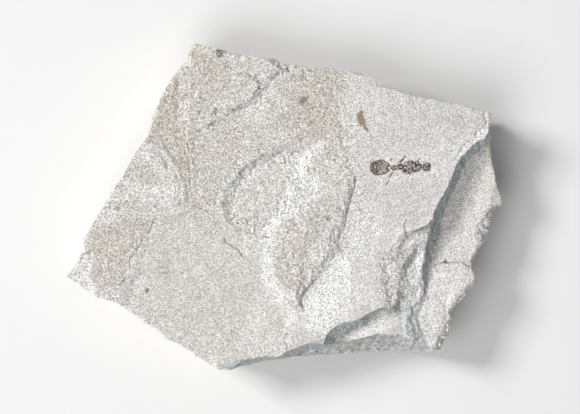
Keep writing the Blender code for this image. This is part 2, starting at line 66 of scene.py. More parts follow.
# The broken outline of the slab seen from above, clockwise from its top left peak.
SLAB_OUTLINE = [
    (-16.3, 29.6), (-13.5, 28.7), (-10.8, 28.2), (-7.6, 27.4), (-4.5, 26.8), (-1.8, 26.7),
    (-1.1, 26.1), (3.0, 25.4), (6.6, 25.2), (11.5, 24.7), (13.8, 24.0), (15.8, 23.0), (18.0, 21.8),
    (20.7, 20.9), (24.3, 19.9), (30.4, 18.6), (33.6, 17.9), (37.2, 17.0), (37.0, 15.4),
    (37.0, 13.8), (37.4, 12.6), (37.0, 12.0), (37.3, 9.8), (37.8, 6.4), (38.7, 3.1), (39.4, 0.8),
    (39.1, 0.2), (37.9, -0.6), (37.2, -3.1), (36.5, -6.1), (35.8, -6.8), (34.5, -8.9),
    (33.7, -11.2), (34.4, -12.9), (34.0, -14.3), (33.0, -15.8), (31.5, -17.3), (30.3, -18.8),
    (30.1, -20.2), (30.0, -21.5), (29.6, -23.2), (28.0, -25.9), (26.2, -26.5), (21.6, -26.5),
    (15.3, -26.7), (9.9, -27.1), (4.8, -27.3), (0.0, -27.7), (-4.2, -28.3), (-6.7, -29.0),
    (-9.8, -29.6), (-11.9, -29.4), (-13.5, -28.6), (-16.2, -27.0), (-18.0, -25.6), (-21.1, -24.1),
    (-22.5, -22.8), (-25.2, -21.1), (-29.1, -18.3), (-30.3, -17.5), (-34.0, -16.4), (-36.4, -14.8),
    (-39.4, -12.6), (-37.8, -10.4), (-36.7, -8.4), (-36.4, -5.8), (-34.8, -3.1), (-33.7, -1.2),
    (-31.2, 2.9), (-27.8, 8.5), (-25.1, 12.6), (-24.1, 15.8), (-23.3, 17.9), (-21.9, 20.9),
    (-20.7, 22.9), (-18.8, 25.3), (-17.7, 26.6), (-17.1, 28.3),
]

# Cuts across the hollow, from the bottom up: their Y, the depth of the floor at the foot of the
# wall, the wall's width, the width of the steep lip at its top, and the share of the depth that the
# lip takes. The floor climbs again towards the sharp right rim, but not in the smooth tongue, whose
# wall gets less slate grey and painted shade from some way below the tongue's top.
HOLLOW_CUTS = [
    (-26.0, 2.1, 2.0, 1.2, 0.55), (-19.0, 1.95, 2.0, 1.2, 0.55), (-16.5, 1.9, 1.3, 0.9, 0.75),
    (-14.5, 2.2, 1.2, 0.9, 0.8), (-12.0, 3.0, 1.8, 1.2, 0.75), (-9.0, 4.0, 2.5, 1.5, 0.78),
    (-5.0, 4.5, 4.7, 2.2, 0.76), (-2.0, 4.5, 5.4, 2.0, 0.7), (1.4, 4.3, 5.8, 1.5, 0.65),
    (7.6, 3.5, 4.6, 1.4, 0.73), (12.2, 2.4, 2.4, 1.4, 0.88),
]
HOLLOW_CLIMB = 0.22
TONGUE_TOP = -11.0
TONGUE_BLEND = 3.0
# How much slate grey and painted shade the tongue's wall keeps, and how far below its top it fades.
TONGUE_FRESH_AND_SHADE = 0.4
TONGUE_FRESH_AND_SHADE_DEPTH = 6.0

# The breaks in the upper face, in the order in which they came off. Each has the line where its
# wall starts, and the wall's width at its left and right ends or at several places along X, or its
# cuts. An offset raises or lowers what is there, tilted about a point and kept between two limits.
# A floor is a depth below the calm surface at a point, deeper by so much along X and along Y. The
# other values say how steeply the wall starts, how rough the break is, how much its wall crumbles
# and how much slate grey its face gets, as stone that has not weathered and as painted shade on
# faces that turn away from the light.
BREAKS = {
    "band_by_the_left_edge": dict(walls=(1.0, 1.0), offset=-0.2, crumble=0.7, line=[
        (-18.0, 26.6), (-18.9, 20.2), (-18.6, 15.8), (-17.7, 14.3), (-17.5, 11.2), (-17.3, 8.2),
        (-16.6, 5.0), (-16.1, 2.2), (-14.8, -0.3), (-17.9, 0.4), (-17.7, 3.1), (-19.5, 6.8),
        (-22.5, 10.9), (-24.7, 11.2), (-28.8, 13.0), (-24.3, 21.1), (-21.6, 26.6)]),
    "upper_scar": dict(walls=(0.8, 0.6), offset=-0.2, crumble=0.6, line=[
        (3.2, 27.4), (3.4, 25.3), (4.8, 22.6), (9.0, 21.2), (10.2, 19.6), (10.4, 16.4),
        (10.6, 13.2), (10.9, 10.4), (8.0, 10.6), (2.7, 10.6), (-0.9, 10.4), (-4.2, 9.6),
        (-7.2, 7.6), (-9.5, 4.6), (-11.0, 1.0), (-13.5, -0.5), (-16.0, 2.2), (-17.0, 8.2),
        (-17.6, 13.0), (-12.0, 16.0), (-5.4, 19.0), (-3.0, 22.2), (-0.4, 24.6), (-0.4, 27.4)]),
    "wide_plate": dict(walls=(1.8, 2.3), offset=-0.35, crumble=0.35, line=[
        (-23.4, -2.1), (-25.8, -5.8), (-26.1, -7.3), (-27.9, -9.4), (-28.1, -12.0), (-29.4, -13.6),
        (-29.0, -16.6), (-30.1, -20.2), (-22.5, -29.2), (-8.1, -33.8), (-4.2, -28.3), (0.0, -25.6),
        (2.7, -22.4), (2.3, -19.9), (0.9, -17.6), (-0.8, -15.2), (-1.8, -13.0), (-2.2, -10.2),
        (-3.5, -8.0), (-6.0, -6.4), (-8.5, -4.4), (-10.7, -2.6), (-13.2, -1.7), (-15.3, -1.0),
        (-20.7, -1.5)]),
    "middle_basin": dict(walls=(1.9, 2.6), offset=-0.8, point=(-10.0, 3.0), tilt=(0.09, -0.092),
        limits=(-0.95, -0.06), crumble=1.1, line=[
        (-4.2, 9.4), (-7.2, 7.6), (-9.0, 5.5), (-10.5, 3.1), (-11.6, 0.4), (-11.2, -1.0),
        (-10.3, -2.6), (-9.0, -4.0), (-5.1, -5.1), (-2.4, -5.1), (-0.8, -2.6), (0.7, -0.1),
        (3.2, 3.5), (4.6, 6.4), (5.5, 8.5), (7.3, 11.1), (5.4, 11.2), (2.7, 10.5), (-0.9, 10.3)]),
    "rib": dict(walls=(3.0, 1.5), offset=0.45, point=(12.0, 0.0), tilt=(0.0, -0.05),
        limits=(0.06, 0.6), ease=1.5, crumble=1.0, line=[
        (8.1, 10.3), (10.8, 9.4), (12.6, 7.6), (13.1, 5.3), (12.6, 3.1), (11.7, 0.8), (10.8, -3.7),
        (9.9, -5.3), (9.7, -6.8), (10.4, -8.0), (9.0, -9.4), (5.9, -12.5), (3.4, -16.3),
        (2.8, -18.8), (1.9, -18.4), (0.5, -16.3), (-0.8, -13.6), (-1.3, -10.9), (-1.8, -7.6),
        (-1.3, -5.0), (0.5, -1.3), (2.7, 1.7), (4.5, 5.0), (5.9, 8.2)]),
    "top_left_flake": dict(walls=(1.4, 1.4), offset=0.4, ease=1.5, crumble=1.3, line=[
        (-18.9, 31.9), (-1.3, 29.2), (-1.3, 26.2), (-0.4, 25.3), (-0.4, 24.2), (-2.4, 22.4),
        (-3.5, 22.2), (-4.5, 20.2), (-6.3, 18.4), (-9.4, 16.8), (-11.2, 16.6), (-15.3, 15.6),
        (-18.0, 14.8), (-19.1, 17.2), (-17.9, 20.2), (-17.1, 23.8), (-17.9, 26.6)]),
    "left_flake": dict(walls=(1.0, 1.0), offset=0.15, crumble=0.7, line=[
        (-24.7, 10.7), (-22.9, 10.3), (-21.5, 8.9), (-19.8, 6.6), (-18.0, 4.0), (-18.0, 2.2),
        (-18.8, 0.6), (-22.5, 0.3), (-27.0, 0.4), (-29.7, 0.1), (-33.7, -1.0), (-37.8, -1.0),
        (-28.8, 13.0)]),
    "left_corner": dict(walls=(1.0, 1.0), offset=-0.4, line=[
        (-34.6, -7.6), (-34.4, -10.2), (-35.1, -12.2), (-34.1, -13.9), (-34.6, -18.4),
        (-42.3, -14.8), (-40.5, -9.8)]),
    "lower_left_bevel": dict(walls=(0.8, 0.8), offset=-0.45, point=(-16.0, -25.0), tilt=(0.0, 0.07),
        limits=(-0.6, -0.03), crumble=0.6, line=[
        (-21.1, -19.3), (-20.3, -21.5), (-18.8, -22.9), (-17.5, -24.0), (-16.0, -25.0),
        (-14.9, -26.1), (-13.2, -27.0), (-12.4, -28.0), (-12.3, -29.8), (-12.3, -34.6),
        (-27.9, -27.4), (-27.9, -21.1)]),
    "crumbled_corner": dict(walls=(0.6, 0.6), offset=-0.1, rough=0.09, line=[
        (36.0, 18.6), (35.6, 17.0), (35.9, 15.2), (34.4, 13.6), (33.3, 12.2), (32.1, 10.9),
        (31.0, 9.0), (33.0, 8.0), (38.7, 11.2), (40.5, 18.6)]),
    "stepped_fracture": dict(walls=(1.9, 0.4), floor=0.1, point=(18.0, -7.6), deeper_x=0.16,
        deeper_y=-0.03, ease=1.4, rough=0.07, crumble=0.8, line=[
        (26.1, -2.1), (25.2, -3.3), (24.2, -3.9), (22.8, -4.2), (21.6, -4.0), (20.4, -5.6),
        (19.0, -7.9), (17.4, -9.4), (16.8, -10.6), (17.1, -12.9), (17.6, -14.8), (17.4, -18.3),
        (18.7, -18.8), (19.2, -22.1), (18.5, -31.0), (29.7, -31.0), (29.7, -2.1)]),
    "fracture_valley": dict(walls=(2.1, 1.7), offset=-0.75, ease=1.3, rough=0.07, crumble=0.8,
        line=[
        (23.6, -7.2), (22.0, -9.0), (20.7, -11.6), (20.2, -14.6), (19.4, -17.8), (18.8, -21.0),
        (19.0, -25.5), (21.2, -25.8), (21.8, -22.0), (22.0, -19.0), (23.4, -17.0), (24.3, -14.0),
        (24.7, -10.8), (24.8, -8.2)]),
    "hollow": dict(cuts=HOLLOW_CUTS, crumble=0.35, fresh=1.0, line=[
        (38.7, 17.2), (37.0, 15.4), (36.6, 13.9), (36.0, 12.9), (35.3, 12.1), (34.3, 12.0),
        (33.7, 11.1), (32.9, 10.1), (32.0, 8.6), (30.9, 7.1), (29.7, 5.0), (27.9, 1.3),
        (26.8, -1.3), (26.2, -2.8), (26.0, -4.6), (25.3, -7.3), (24.9, -10.3), (24.9, -13.5),
        (24.6, -15.5), (23.8, -17.0), (22.8, -18.6), (22.4, -20.6), (23.0, -23.2), (24.6, -26.2),
        (26.0, -31.0), (45.9, -31.0), (45.9, 17.2)]),
    "right_bevel": dict(walls=(3.2, 3.2), offset=-1.05, limits=(-1.05, 0.0), rough=0.16, ease=1.3,
        crumble=1.4, fresh=0.3, line=[
        (39.2, 0.2), (36.9, -0.3), (35.6, -0.8), (34.7, -3.1), (34.5, -5.0), (35.1, -6.8),
        (34.2, -7.6), (33.4, -9.8), (33.8, -11.2), (34.2, -12.7), (33.3, -13.8), (30.7, -16.5),
        (29.5, -18.8), (29.3, -20.2), (27.9, -23.3), (26.6, -26.2), (26.6, -31.0), (45.9, -31.0),
        (45.9, 0.3)]),
    "wedge_ledge": dict(widths=[(-12.0, 1.3), (6.0, 1.4), (9.0, 1.9), (11.5, 2.2), (14.0, 1.6),
        (16.7, 0.8), (18.6, 0.4)], floor=2.5, point=(14.0, -22.0), deeper_x=-0.07, deeper_y=-0.03,
        ease=1.15, crumble=0.9, fresh=0.85, line=[
        (22.0, -19.0), (18.9, -18.6), (17.2, -18.3), (15.3, -19.0), (11.7, -20.4), (8.4, -22.1),
        (7.5, -22.9), (6.6, -24.6), (4.1, -24.2), (2.1, -24.9), (0.9, -25.6), (-1.7, -27.3),
        (-4.2, -27.5), (-7.8, -27.3), (-10.1, -29.4), (-11.7, -33.8), (22.0, -33.8)]),
    "lower_face": dict(walls=(3.3, 3.3), floor=11.0, rough=0.3, crumble=1.7, fresh=0.35, line=[
        (-10.3, -29.8), (-8.1, -27.6), (-4.2, -27.8), (-1.3, -27.5), (0.9, -26.3), (3.6, -25.1),
        (6.3, -24.9), (9.9, -24.5), (13.5, -24.0), (17.1, -23.3), (20.7, -23.1), (23.4, -24.4),
        (26.1, -25.6), (28.8, -28.3), (28.8, -34.6), (-11.7, -34.6)]),
}
WALL_EASE = 1.8
LIP_EASE = 1.15
FOOT_EASE = 2

# Where a wall crumbles: from soon below its top to a little past its foot. Where its face gets
# slate grey and painted shade: over its face, with soft borders.
CRUMBLE_ONSET = 4.5
CRUMBLE_END = 1.1
CRUMBLE_FADE = 3.0
FRESH_AND_SHADE_ONSET = 0.15
FRESH_AND_SHADE_FADE = 0.3

# The breaks whose faces are streaked, and which way their streaks run, in degrees from the X axis.
SPLINTERED = {"stepped_fracture": 98.0, "fracture_valley": 98.0, "lower_face": 26.0}
SPLINTER_BORDER = 1.2
SPLINTER_START = 0.6
SPLINTER_SHARE = 0.35
SPLINTER_HEIGHT = 0.045

# The breaks whose steep faces show layers, and how far layers and chips push them along X and Y.
DEEP_BREAKS = ("stepped_fracture", "hollow", "right_bevel", "wedge_ledge", "lower_face")
STEEP_WIDTH = 1.6
LAYER_SHIFT = (-0.12, 0.24)
CHIP_SHIFT = (-0.05, 0.2)

# Hairline cracks: each one's width, depth and line. They are painted dark, as dust in them and as
# painted shade where shade falls into the grooves.
CRACKS = [
    (0.15, 0.22, [(-10.8, -5.3), (-10.7, -6.4), (-9.8, -7.3), (-8.1, -8.2), (-7.4, -9.1)]),
    (0.16, 0.24, [(-11.2, -1.0), (-10.3, -2.6), (-9.0, -4.0), (-7.1, -4.6), (-5.1, -5.0),
     (-2.7, -5.5)]),
    (0.15, 0.2, [(10.4, -8.0), (10.8, -9.8)]),
    (0.16, 0.26, [(9.9, 13.4), (10.6, 13.9)]),
    (0.14, 0.14, [(3.2, 25.5), (3.4, 22.9)]),
    (0.15, 0.22, [(-6.5, 23.8), (-6.0, 23.1)]),
    (0.16, 0.25, [(-5.4, 22.8), (-4.9, 22.2)]),
    (0.15, 0.2, [(0.3, 25.1), (0.7, 24.2)]),
    (0.17, 0.26, [(-0.2, -24.0), (0.3, -24.8), (0.5, -25.8)]),
    (0.16, 0.25, [(27.1, -10.6), (28.8, -10.0), (30.2, -9.95), (31.8, -10.15), (33.7, -11.2)]),
    (0.17, 0.25, [(25.7, -16.1), (25.9, -17.4)]),
    (0.21, 0.4, [(31.6, 8.2), (32.9, 7.6)]),
    (0.13, 0.2, [(22.1, -2.1), (21.3, -3.3), (21.5, -4.1)]),
    # This groove at the foot of the tongue's lip is painted dark as the shadow under the undercut
    # lip.
    (0.24, 0.4, [(26.3, -2.5), (25.4, -3.6), (24.4, -4.2), (23.4, -4.5), (22.7, -4.5)]),
    (0.14, 0.22, [(21.4, -4.1), (20.3, -5.7), (19.7, -6.8), (18.8, -8.2)]),
    (0.14, 0.2, [(17.5, -9.5), (16.8, -10.4), (17.0, -11.6)]),
    (0.13, 0.16, [(17.1, -12.9), (17.6, -14.9), (17.3, -17.6)]),
    (0.13, 0.16, [(27.1, -10.3), (27.5, -11.1)]),
    (0.16, 0.18, [(-17.1, -0.1), (-14.8, -0.6), (-13.2, -1.7), (-11.6, -3.3)]),
    (0.16, 0.24, [(-28.4, -12.4), (-29.2, -13.9)]),
    (0.18, 0.2, [(-23.6, -2.4), (-24.4, -4.4), (-25.0, -5.2)]),
    (0.2, 0.22, [(-25.5, -5.8), (-26.1, -7.1), (-26.9, -8.0)]),
    (0.17, 0.2, [(-27.2, -8.4), (-27.9, -9.7), (-28.1, -11.6)]),
    (0.24, 0.22, [(12.8, 5.4), (12.5, 3.6), (11.8, 2.0), (11.6, 0.4), (11.0, -1.2), (10.8, -3.2),
     (10.3, -4.3), (9.8, -5.6), (9.9, -6.8)]),
    (0.18, 0.16, [(10.0, -8.0), (9.0, -9.2), (8.2, -10.0)]),
    # Along the wedge's lower edge: its dark line is painted shadow under that edge.
    (0.17, 0.16, [(8.9, -24.8), (11.0, -24.4), (13.0, -24.1), (17.0, -23.5)]),
    (0.26, 0.24, [(5.6, -12.8), (4.4, -14.2), (3.7, -15.2), (3.2, -16.5), (3.0, -17.6),
     (3.1, -19.0)]),
    (0.15, 0.2, [(-18.0, 12.0), (-17.3, 9.6), (-17.5, 7.4), (-17.2, 5.0), (-16.6, 3.2)]),
]

# Thin lips where a skin of stone came away: the drop, the distance over which it fades out, and
# the line, which has the lower side on its right.
LIPS = [
    (0.14, 2.0, [(-24.3, 6.8), (-22.5, 5.3), (-21.5, 3.7)]),
    (0.12, 1.6, [(-30.1, 3.9), (-28.3, 3.7), (-27.4, 2.1)]),
    (0.12, 1.5, [(-18.0, 20.2), (-18.4, 18.4), (-17.5, 16.1), (-17.1, 14.8)]),
    (0.12, 1.5, [(-11.2, 16.6), (-15.3, 15.6), (-18.0, 14.8)]),
    (0.16, 2.0, [(-5.6, 25.1), (-5.6, 23.1), (-4.2, 22.2)]),
    (0.12, 1.8, [(-6.0, 5.0), (-4.2, 6.4), (-1.8, 7.1), (0.5, 6.4)]),
    (0.1, 1.5, [(-7.2, 0.4), (-5.4, 1.7), (-3.1, 2.2)]),
    (0.1, 2.0, [(11.3, -9.8), (12.0, -13.0), (11.5, -16.6), (12.0, -19.9)]),
    (0.08, 2.0, [(14.4, 3.1), (15.6, 1.3), (14.9, -1.3), (13.5, -4.0)]),
    (0.1, 1.8, [(-13.5, 23.8), (-11.4, 24.8), (-8.5, 24.4)]),
]
LIP_STEP = 0.16
LIP_END = 0.8

# Patches of colour on the upper face, by tint: how strong each is, how wide its soft border is,
# and its line. The salty stone has a coarser grain. A few tan patches are painted shade and a few
# pale ones painted light, as marked below.
PATCHES = {
    "tan": [
        (0.66, 2.2, [(-3.6, 21.1), (0.0, 23.3), (2.7, 25.5), (3.2, 27.4), (11.7, 26.6),
         (10.8, 22.1), (10.4, 19.3), (10.0, 17.6), (10.4, 14.8), (11.1, 14.1), (9.5, 12.5),
         (5.9, 11.1), (2.7, 10.7), (-0.9, 10.3), (-4.2, 9.4), (-7.2, 10.3), (-7.6, 14.3),
         (-5.4, 18.4)]),
        (0.95, 2.2, [(-19.8, 26.6), (-18.6, 22.9), (-18.2, 20.2), (-18.8, 18.4), (-18.6, 15.8),
         (-17.7, 14.3), (-17.5, 11.2), (-17.1, 9.4), (-16.8, 6.8), (-16.1, 2.2), (-14.8, -0.4),
         (-17.1, 0.8), (-17.7, 3.1), (-19.5, 6.8), (-22.5, 10.9), (-26.1, 12.2), (-26.1, 19.3)]),
        (0.48, 1.6, [(7.3, 1.6), (10.3, 1.8), (8.6, -1.4), (6.6, -4.8), (3.6, -9.6), (2.5, -15.7),
         (-0.2, -15.0), (-2.0, -12.3), (-1.6, -6.9), (-1.0, -3.8), (3.5, -1.1)]),
        (0.35, 2.2, [(-11.0, 3.4), (-8.2, 3.0), (-9.0, -0.6), (-12.2, -0.6), (-13.0, 1.8)]),
        (0.5, 2.2, [(6.6, 12.8), (11.8, 12.8), (12.2, 9.0), (9.5, 7.8), (7.0, 9.0)]),
        (0.2, 2.2, [(2.5, 8.0), (5.0, 11.0), (9.5, 10.0), (12.2, 6.5), (12.4, 1.5), (9.0, 1.5),
         (6.0, 4.5)]),
        (0.15, 2.2, [(-10.4, 0.6), (-8.6, 3.8), (-5.6, 6.4), (-2.2, 7.6), (0.8, 6.8), (-0.2, 3.6),
         (-2.4, -0.2), (-4.2, -3.6), (-8.0, -3.2)]),
        (0.65, 2.2, [(-33.8, -3.2), (-30.6, -3.0), (-28.4, -1.6), (-24.6, -1.8), (-23.6, -2.6),
         (-25.4, -5.8), (-27.8, -9.1), (-28.3, -12.2), (-29.7, -14.8), (-33.7, -15.2),
         (-35.1, -12.2), (-34.4, -9.8), (-36.2, -6.8), (-35.1, -3.1)]),
        (0.72, 2.2, [(-17.6, 28.6), (-13.0, 28.2), (-10.5, 26.4), (-9.6, 23.2), (-11.0, 20.2),
         (-13.0, 17.2), (-15.3, 16.1), (-16.1, 20.2)]),
        (0.25, 2.2, [(-10.5, 26.4), (-6.3, 26.2), (-4.2, 22.1), (-6.3, 19.3), (-10.8, 17.2),
         (-13.0, 17.2), (-11.0, 20.2), (-9.6, 23.2)]),
        (0.5, 2.2, [(-17.1, 13.9), (-8.1, 17.2), (-6.3, 10.3), (-10.8, 3.1), (-14.4, 0.4),
         (-15.7, 2.2), (-17.0, 7.6)]),
        (0.15, 2.2, [(-28.0, -10.0), (-24.0, -4.0), (-20.7, -2.0), (-10.7, -3.0), (-6.0, -7.0),
         (-2.0, -12.0), (1.0, -18.0), (2.0, -22.0), (-4.0, -30.0), (-12.0, -31.0), (-30.0, -19.0)]),
        (0.5, 0.8, [(8.2, -24.7), (10.8, -24.4), (13.8, -22.1), (11.5, -22.7), (8.9, -24.1)]),
        (0.6, 2.2, [(-27.9, 8.5), (-24.3, 7.4), (-22.0, 5.0), (-21.2, 3.1), (-24.5, 3.6),
         (-28.8, 4.0)]),
        # A thin tan strip along the top of the wide plate's left wall: painted shade of that wall.
        (0.7, 0.5, [(-23.4, -2.3), (-25.4, -5.6), (-27.8, -9.5), (-28.1, -11.4), (-28.9, -11.6),
         (-28.6, -9.3), (-26.2, -5.2), (-24.2, -1.9)]),
        (0.6, 0.8, [(-29.7, 0.8), (-27.0, 0.5), (-24.3, 0.2), (-20.6, 0.4), (-18.2, 0.8),
         (-18.2, 0.1), (-20.7, -0.6), (-24.3, -0.7), (-27.9, -0.4), (-30.6, -0.1)]),
        (0.6, 2.2, [(-20.0, 25.4), (-15.6, 25.6), (-14.6, 22.4), (-16.4, 19.4), (-19.6, 19.0)]),
        # Painted shadow along the top edge of the wide plate.
        (0.35, 2.2, [(-20.2, -1.0), (-16.2, 0.2), (-13.6, -1.2), (-14.6, -3.4), (-20.4, -3.2)])],
    "pale": [
        (0.2, 2.2, [(-40.5, -9.8), (-34.6, -7.6), (-34.2, -9.8), (-35.0, -12.2), (-33.9, -14.5),
         (-34.6, -17.6), (-42.3, -14.8)]),
        (0.85, 2.2, [(10.8, -7.6), (12.0, -9.8), (12.0, -14.8), (10.8, -19.9), (7.2, -22.9),
         (3.0, -22.1), (3.2, -17.6), (4.8, -14.8), (7.7, -11.2)]),
        (0.55, 2.2, [(-4.2, -4.4), (-2.4, -3.7), (-2.7, -7.6), (-1.7, -12.2), (0.5, -16.6),
         (3.0, -21.1), (0.9, -22.1), (-1.7, -18.1), (-3.8, -13.4), (-4.9, -9.1)]),
        (0.9, 1.4, [(6.6, 11.6), (6.0, 10.2), (4.6, 8.2), (2.7, 4.9), (0.6, 0.8), (-1.6, -3.6),
         (-2.6, -7.0), (-4.2, -6.6), (-3.3, -3.4), (-1.0, 0.8), (1.0, 4.6), (1.8, 7.4), (3.6, 9.8),
         (5.6, 11.6)]),
        (0.55, 0.9, [(18.7, -19.0), (19.0, -22.0), (17.4, -23.1), (13.1, -24.2), (10.8, -24.4),
         (13.8, -22.1), (16.7, -19.9)]),
        (0.3, 2.2, [(-7.4, 13.6), (-0.6, 14.2), (0.6, 11.6), (-3.6, 10.6), (-7.0, 11.0)]),
        (0.12, 2.2, [(10.4, 19.7), (12.0, 19.3), (12.7, 10.3), (12.0, 7.6), (10.8, 10.3),
         (11.5, 13.9)]),
        (0.12, 2.2, [(-29.7, 7.6), (-24.7, 10.3), (-22.5, 9.8), (-19.8, 6.4), (-18.0, 3.5),
         (-18.6, 0.8), (-24.3, 0.8), (-31.5, 0.1), (-32.4, 1.3)]),
        (0.6, 0.9, [(35.8, 18.0), (35.6, 17.0), (35.9, 15.2), (34.4, 13.6), (33.3, 12.2),
         (32.1, 10.9), (31.0, 9.0), (32.4, 8.8), (33.7, 11.1), (35.3, 12.1), (36.6, 13.9),
         (37.6, 17.6)]),
        (1.0, 0.4, [(28.6, -9.4), (29.1, -9.4), (29.1, -10.0), (28.6, -10.0)]),
        (0.6, 1.2, [(19.8, -4.0), (22.6, -3.9), (25.6, -2.8), (26.2, -5.6), (22.8, -6.2),
         (20.6, -8.6), (18.4, -8.9), (18.8, -7.2)]),
        (0.45, 2.2, [(16.6, -9.6), (19.2, -8.0), (20.4, -12.0), (19.4, -18.2), (17.6, -18.2),
         (17.0, -13.0)]),
        # Pale over the steep lower face: its own paler stone, and painted light on a face turned
        # from the key.
        (0.7, 0.8, [(-10.3, -29.4), (-8.1, -27.9), (-4.2, -28.0), (-1.3, -27.7), (0.9, -26.6),
         (3.6, -25.5), (9.9, -25.0), (17.1, -23.8), (20.7, -23.6), (26.1, -26.0), (28.8, -28.3),
         (28.8, -33.0), (-11.7, -33.0)]),
        (0.4, 0.7, [(-27.0, 3.9), (-24.3, 3.5), (-21.6, 3.2), (-20.4, 2.1), (-21.6, 2.1),
         (-24.3, 2.4), (-27.0, 3.0)]),
        # A pale strip down the wide plate's left wall: painted light on a wall turned from the key.
        (0.55, 0.6, [(-22.4, -3.0), (-24.5, -5.5), (-26.9, -9.3), (-27.8, -12.9), (-28.6, -12.9),
         (-27.5, -9.0), (-25.1, -5.3), (-22.9, -2.6)]),
        (0.35, 2.2, [(-7.8, 21.4), (-2.6, 22.4), (0.4, 18.4), (-1.6, 14.6), (-5.4, 14.0),
         (-7.4, 15.4)]),
        (0.25, 2.2, [(1.0, 4.5), (3.2, 7.0), (5.0, 6.0), (6.6, 4.0), (7.0, 2.2), (4.4, -0.2),
         (2.0, -2.6), (0.0, -1.4), (-0.5, 1.5)]),
        (0.3, 2.2, [(17.0, 4.6), (17.0, 9.6), (24.0, 10.6), (33.5, 12.5), (31.5, 9.5), (29.5, 5.0),
         (22.0, 3.5)]),
        (0.3, 2.2, [(11.8, 0.5), (17.0, 0.5), (19.0, -6.0), (16.2, -9.0), (16.4, -17.0),
         (12.0, -19.0), (10.5, -14.0), (12.0, -8.0)]),
        (0.25, 2.2, [(-5.5, -15.5), (-3.0, -15.0), (-0.5, -19.5), (2.0, -23.5), (0.5, -26.0),
         (-2.0, -26.8), (-7.5, -26.8), (-6.5, -22.0)]),
        (0.5, 2.2, [(24.5, -8.5), (28.5, -9.0), (32.0, -11.5), (33.0, -13.8), (30.0, -17.5),
         (28.9, -20.5), (27.0, -24.5), (25.2, -25.5), (23.6, -24.0), (23.2, -20.5), (24.8, -17.0),
         (25.5, -14.0)]),
        # Pale low in the hollow: painted light over the lower wall and floor, where the wall's
        # shade falls.
        (0.15, 2.2, [(32.0, 4.6), (33.6, 6.6), (36.4, 5.0), (35.4, -1.0), (34.6, -6.0),
         (32.6, -6.0), (31.8, -1.0)])],
    "salty": [
        (1.0, 2.2, [(-50.0, 40.0), (11.7, 40.0), (10.6, 19.0), (12.2, 12.0), (14.0, 7.5),
         (15.6, -4.0), (12.0, -11.5), (8.0, -24.0), (3.0, -21.0), (-2.0, -11.0), (-6.0, -6.4),
         (-10.7, -2.6), (-15.3, -1.0), (-20.7, -1.5), (-23.5, -2.3), (-28.0, -10.0), (-30.0, -20.0),
         (-50.0, -20.0)]),
        (0.5, 2.2, [(26.5, -10.5), (33.5, -10.5), (35.0, -14.0), (30.0, -20.0), (29.0, -28.0),
         (22.0, -28.0), (23.0, -20.0), (25.5, -15.0)])],
    # Slate grey over walls of breaks that face away from the light: unweathered stone and painted
    # shade.
    "fresh": [
        (0.3, 1.0, [(12.9, 5.0), (12.4, 1.8), (11.3, -2.6), (10.4, -5.2), (10.3, -7.2),
         (10.6, -8.2), (9.0, -10.0), (5.9, -13.2), (3.6, -16.8), (3.0, -19.2), (2.2, -18.6),
         (2.8, -16.2), (5.0, -12.4), (8.2, -9.0), (9.3, -6.9), (9.4, -5.0), (10.4, -2.4),
         (11.3, 1.2), (11.9, 4.4)]),
        (0.3, 0.8, [(-11.9, 0.8), (-11.0, 3.2), (-9.2, 6.0), (-7.2, 8.2), (-4.2, 10.0),
         (-0.9, 10.8), (2.7, 11.0), (2.5, 9.9), (-0.9, 9.2), (-3.6, 8.2), (-6.4, 6.4), (-8.2, 4.4),
         (-9.7, 1.6), (-10.3, -0.8), (-11.3, -0.9)]),
        (0.15, 0.8, [(-3.9, 22.9), (-3.0, 21.6), (-4.6, 19.4), (-6.6, 17.6), (-9.6, 16.1),
         (-15.3, 14.8), (-18.2, 14.0), (-18.0, 15.4), (-15.3, 16.4), (-10.6, 17.4), (-7.4, 18.9),
         (-5.5, 20.7), (-4.4, 22.6)]),
        (1.0, 0.8, [(-12.5, -28.6), (-8.1, -27.4), (-4.2, -27.4), (-1.3, -27.2), (1.5, -26.0),
         (3.6, -25.0), (5.0, -29.0), (-12.0, -32.0)]),
        (0.4, 1.2, [(23.4, -6.6), (21.9, -9.0), (20.3, -12.0), (19.6, -15.6), (20.0, -19.0),
         (21.6, -25.0), (24.6, -25.4), (23.2, -20.0), (21.4, -16.0), (22.0, -12.4), (23.8, -9.4),
         (25.0, -7.2)]),
        (0.65, 1.2, [(19.9, -16.4), (22.8, -17.2), (24.6, -20.8), (25.4, -24.8), (21.6, -24.4),
         (20.2, -20.6)]),
        (0.9, 0.6, [(3.6, -24.9), (6.0, -24.0), (8.6, -23.9), (9.4, -24.6), (7.2, -25.6),
         (3.4, -25.8)])],
    "grey": [
        (0.4, 2.2, [(23.0, -5.1), (25.0, -3.6), (24.4, -9.8), (25.5, -16.1), (26.6, -26.0),
         (2.7, -27.8), (-2.7, -27.8), (6.3, -24.8), (17.1, -23.4), (19.4, -20.0), (19.6, -15.0),
         (21.0, -10.0)])],
}

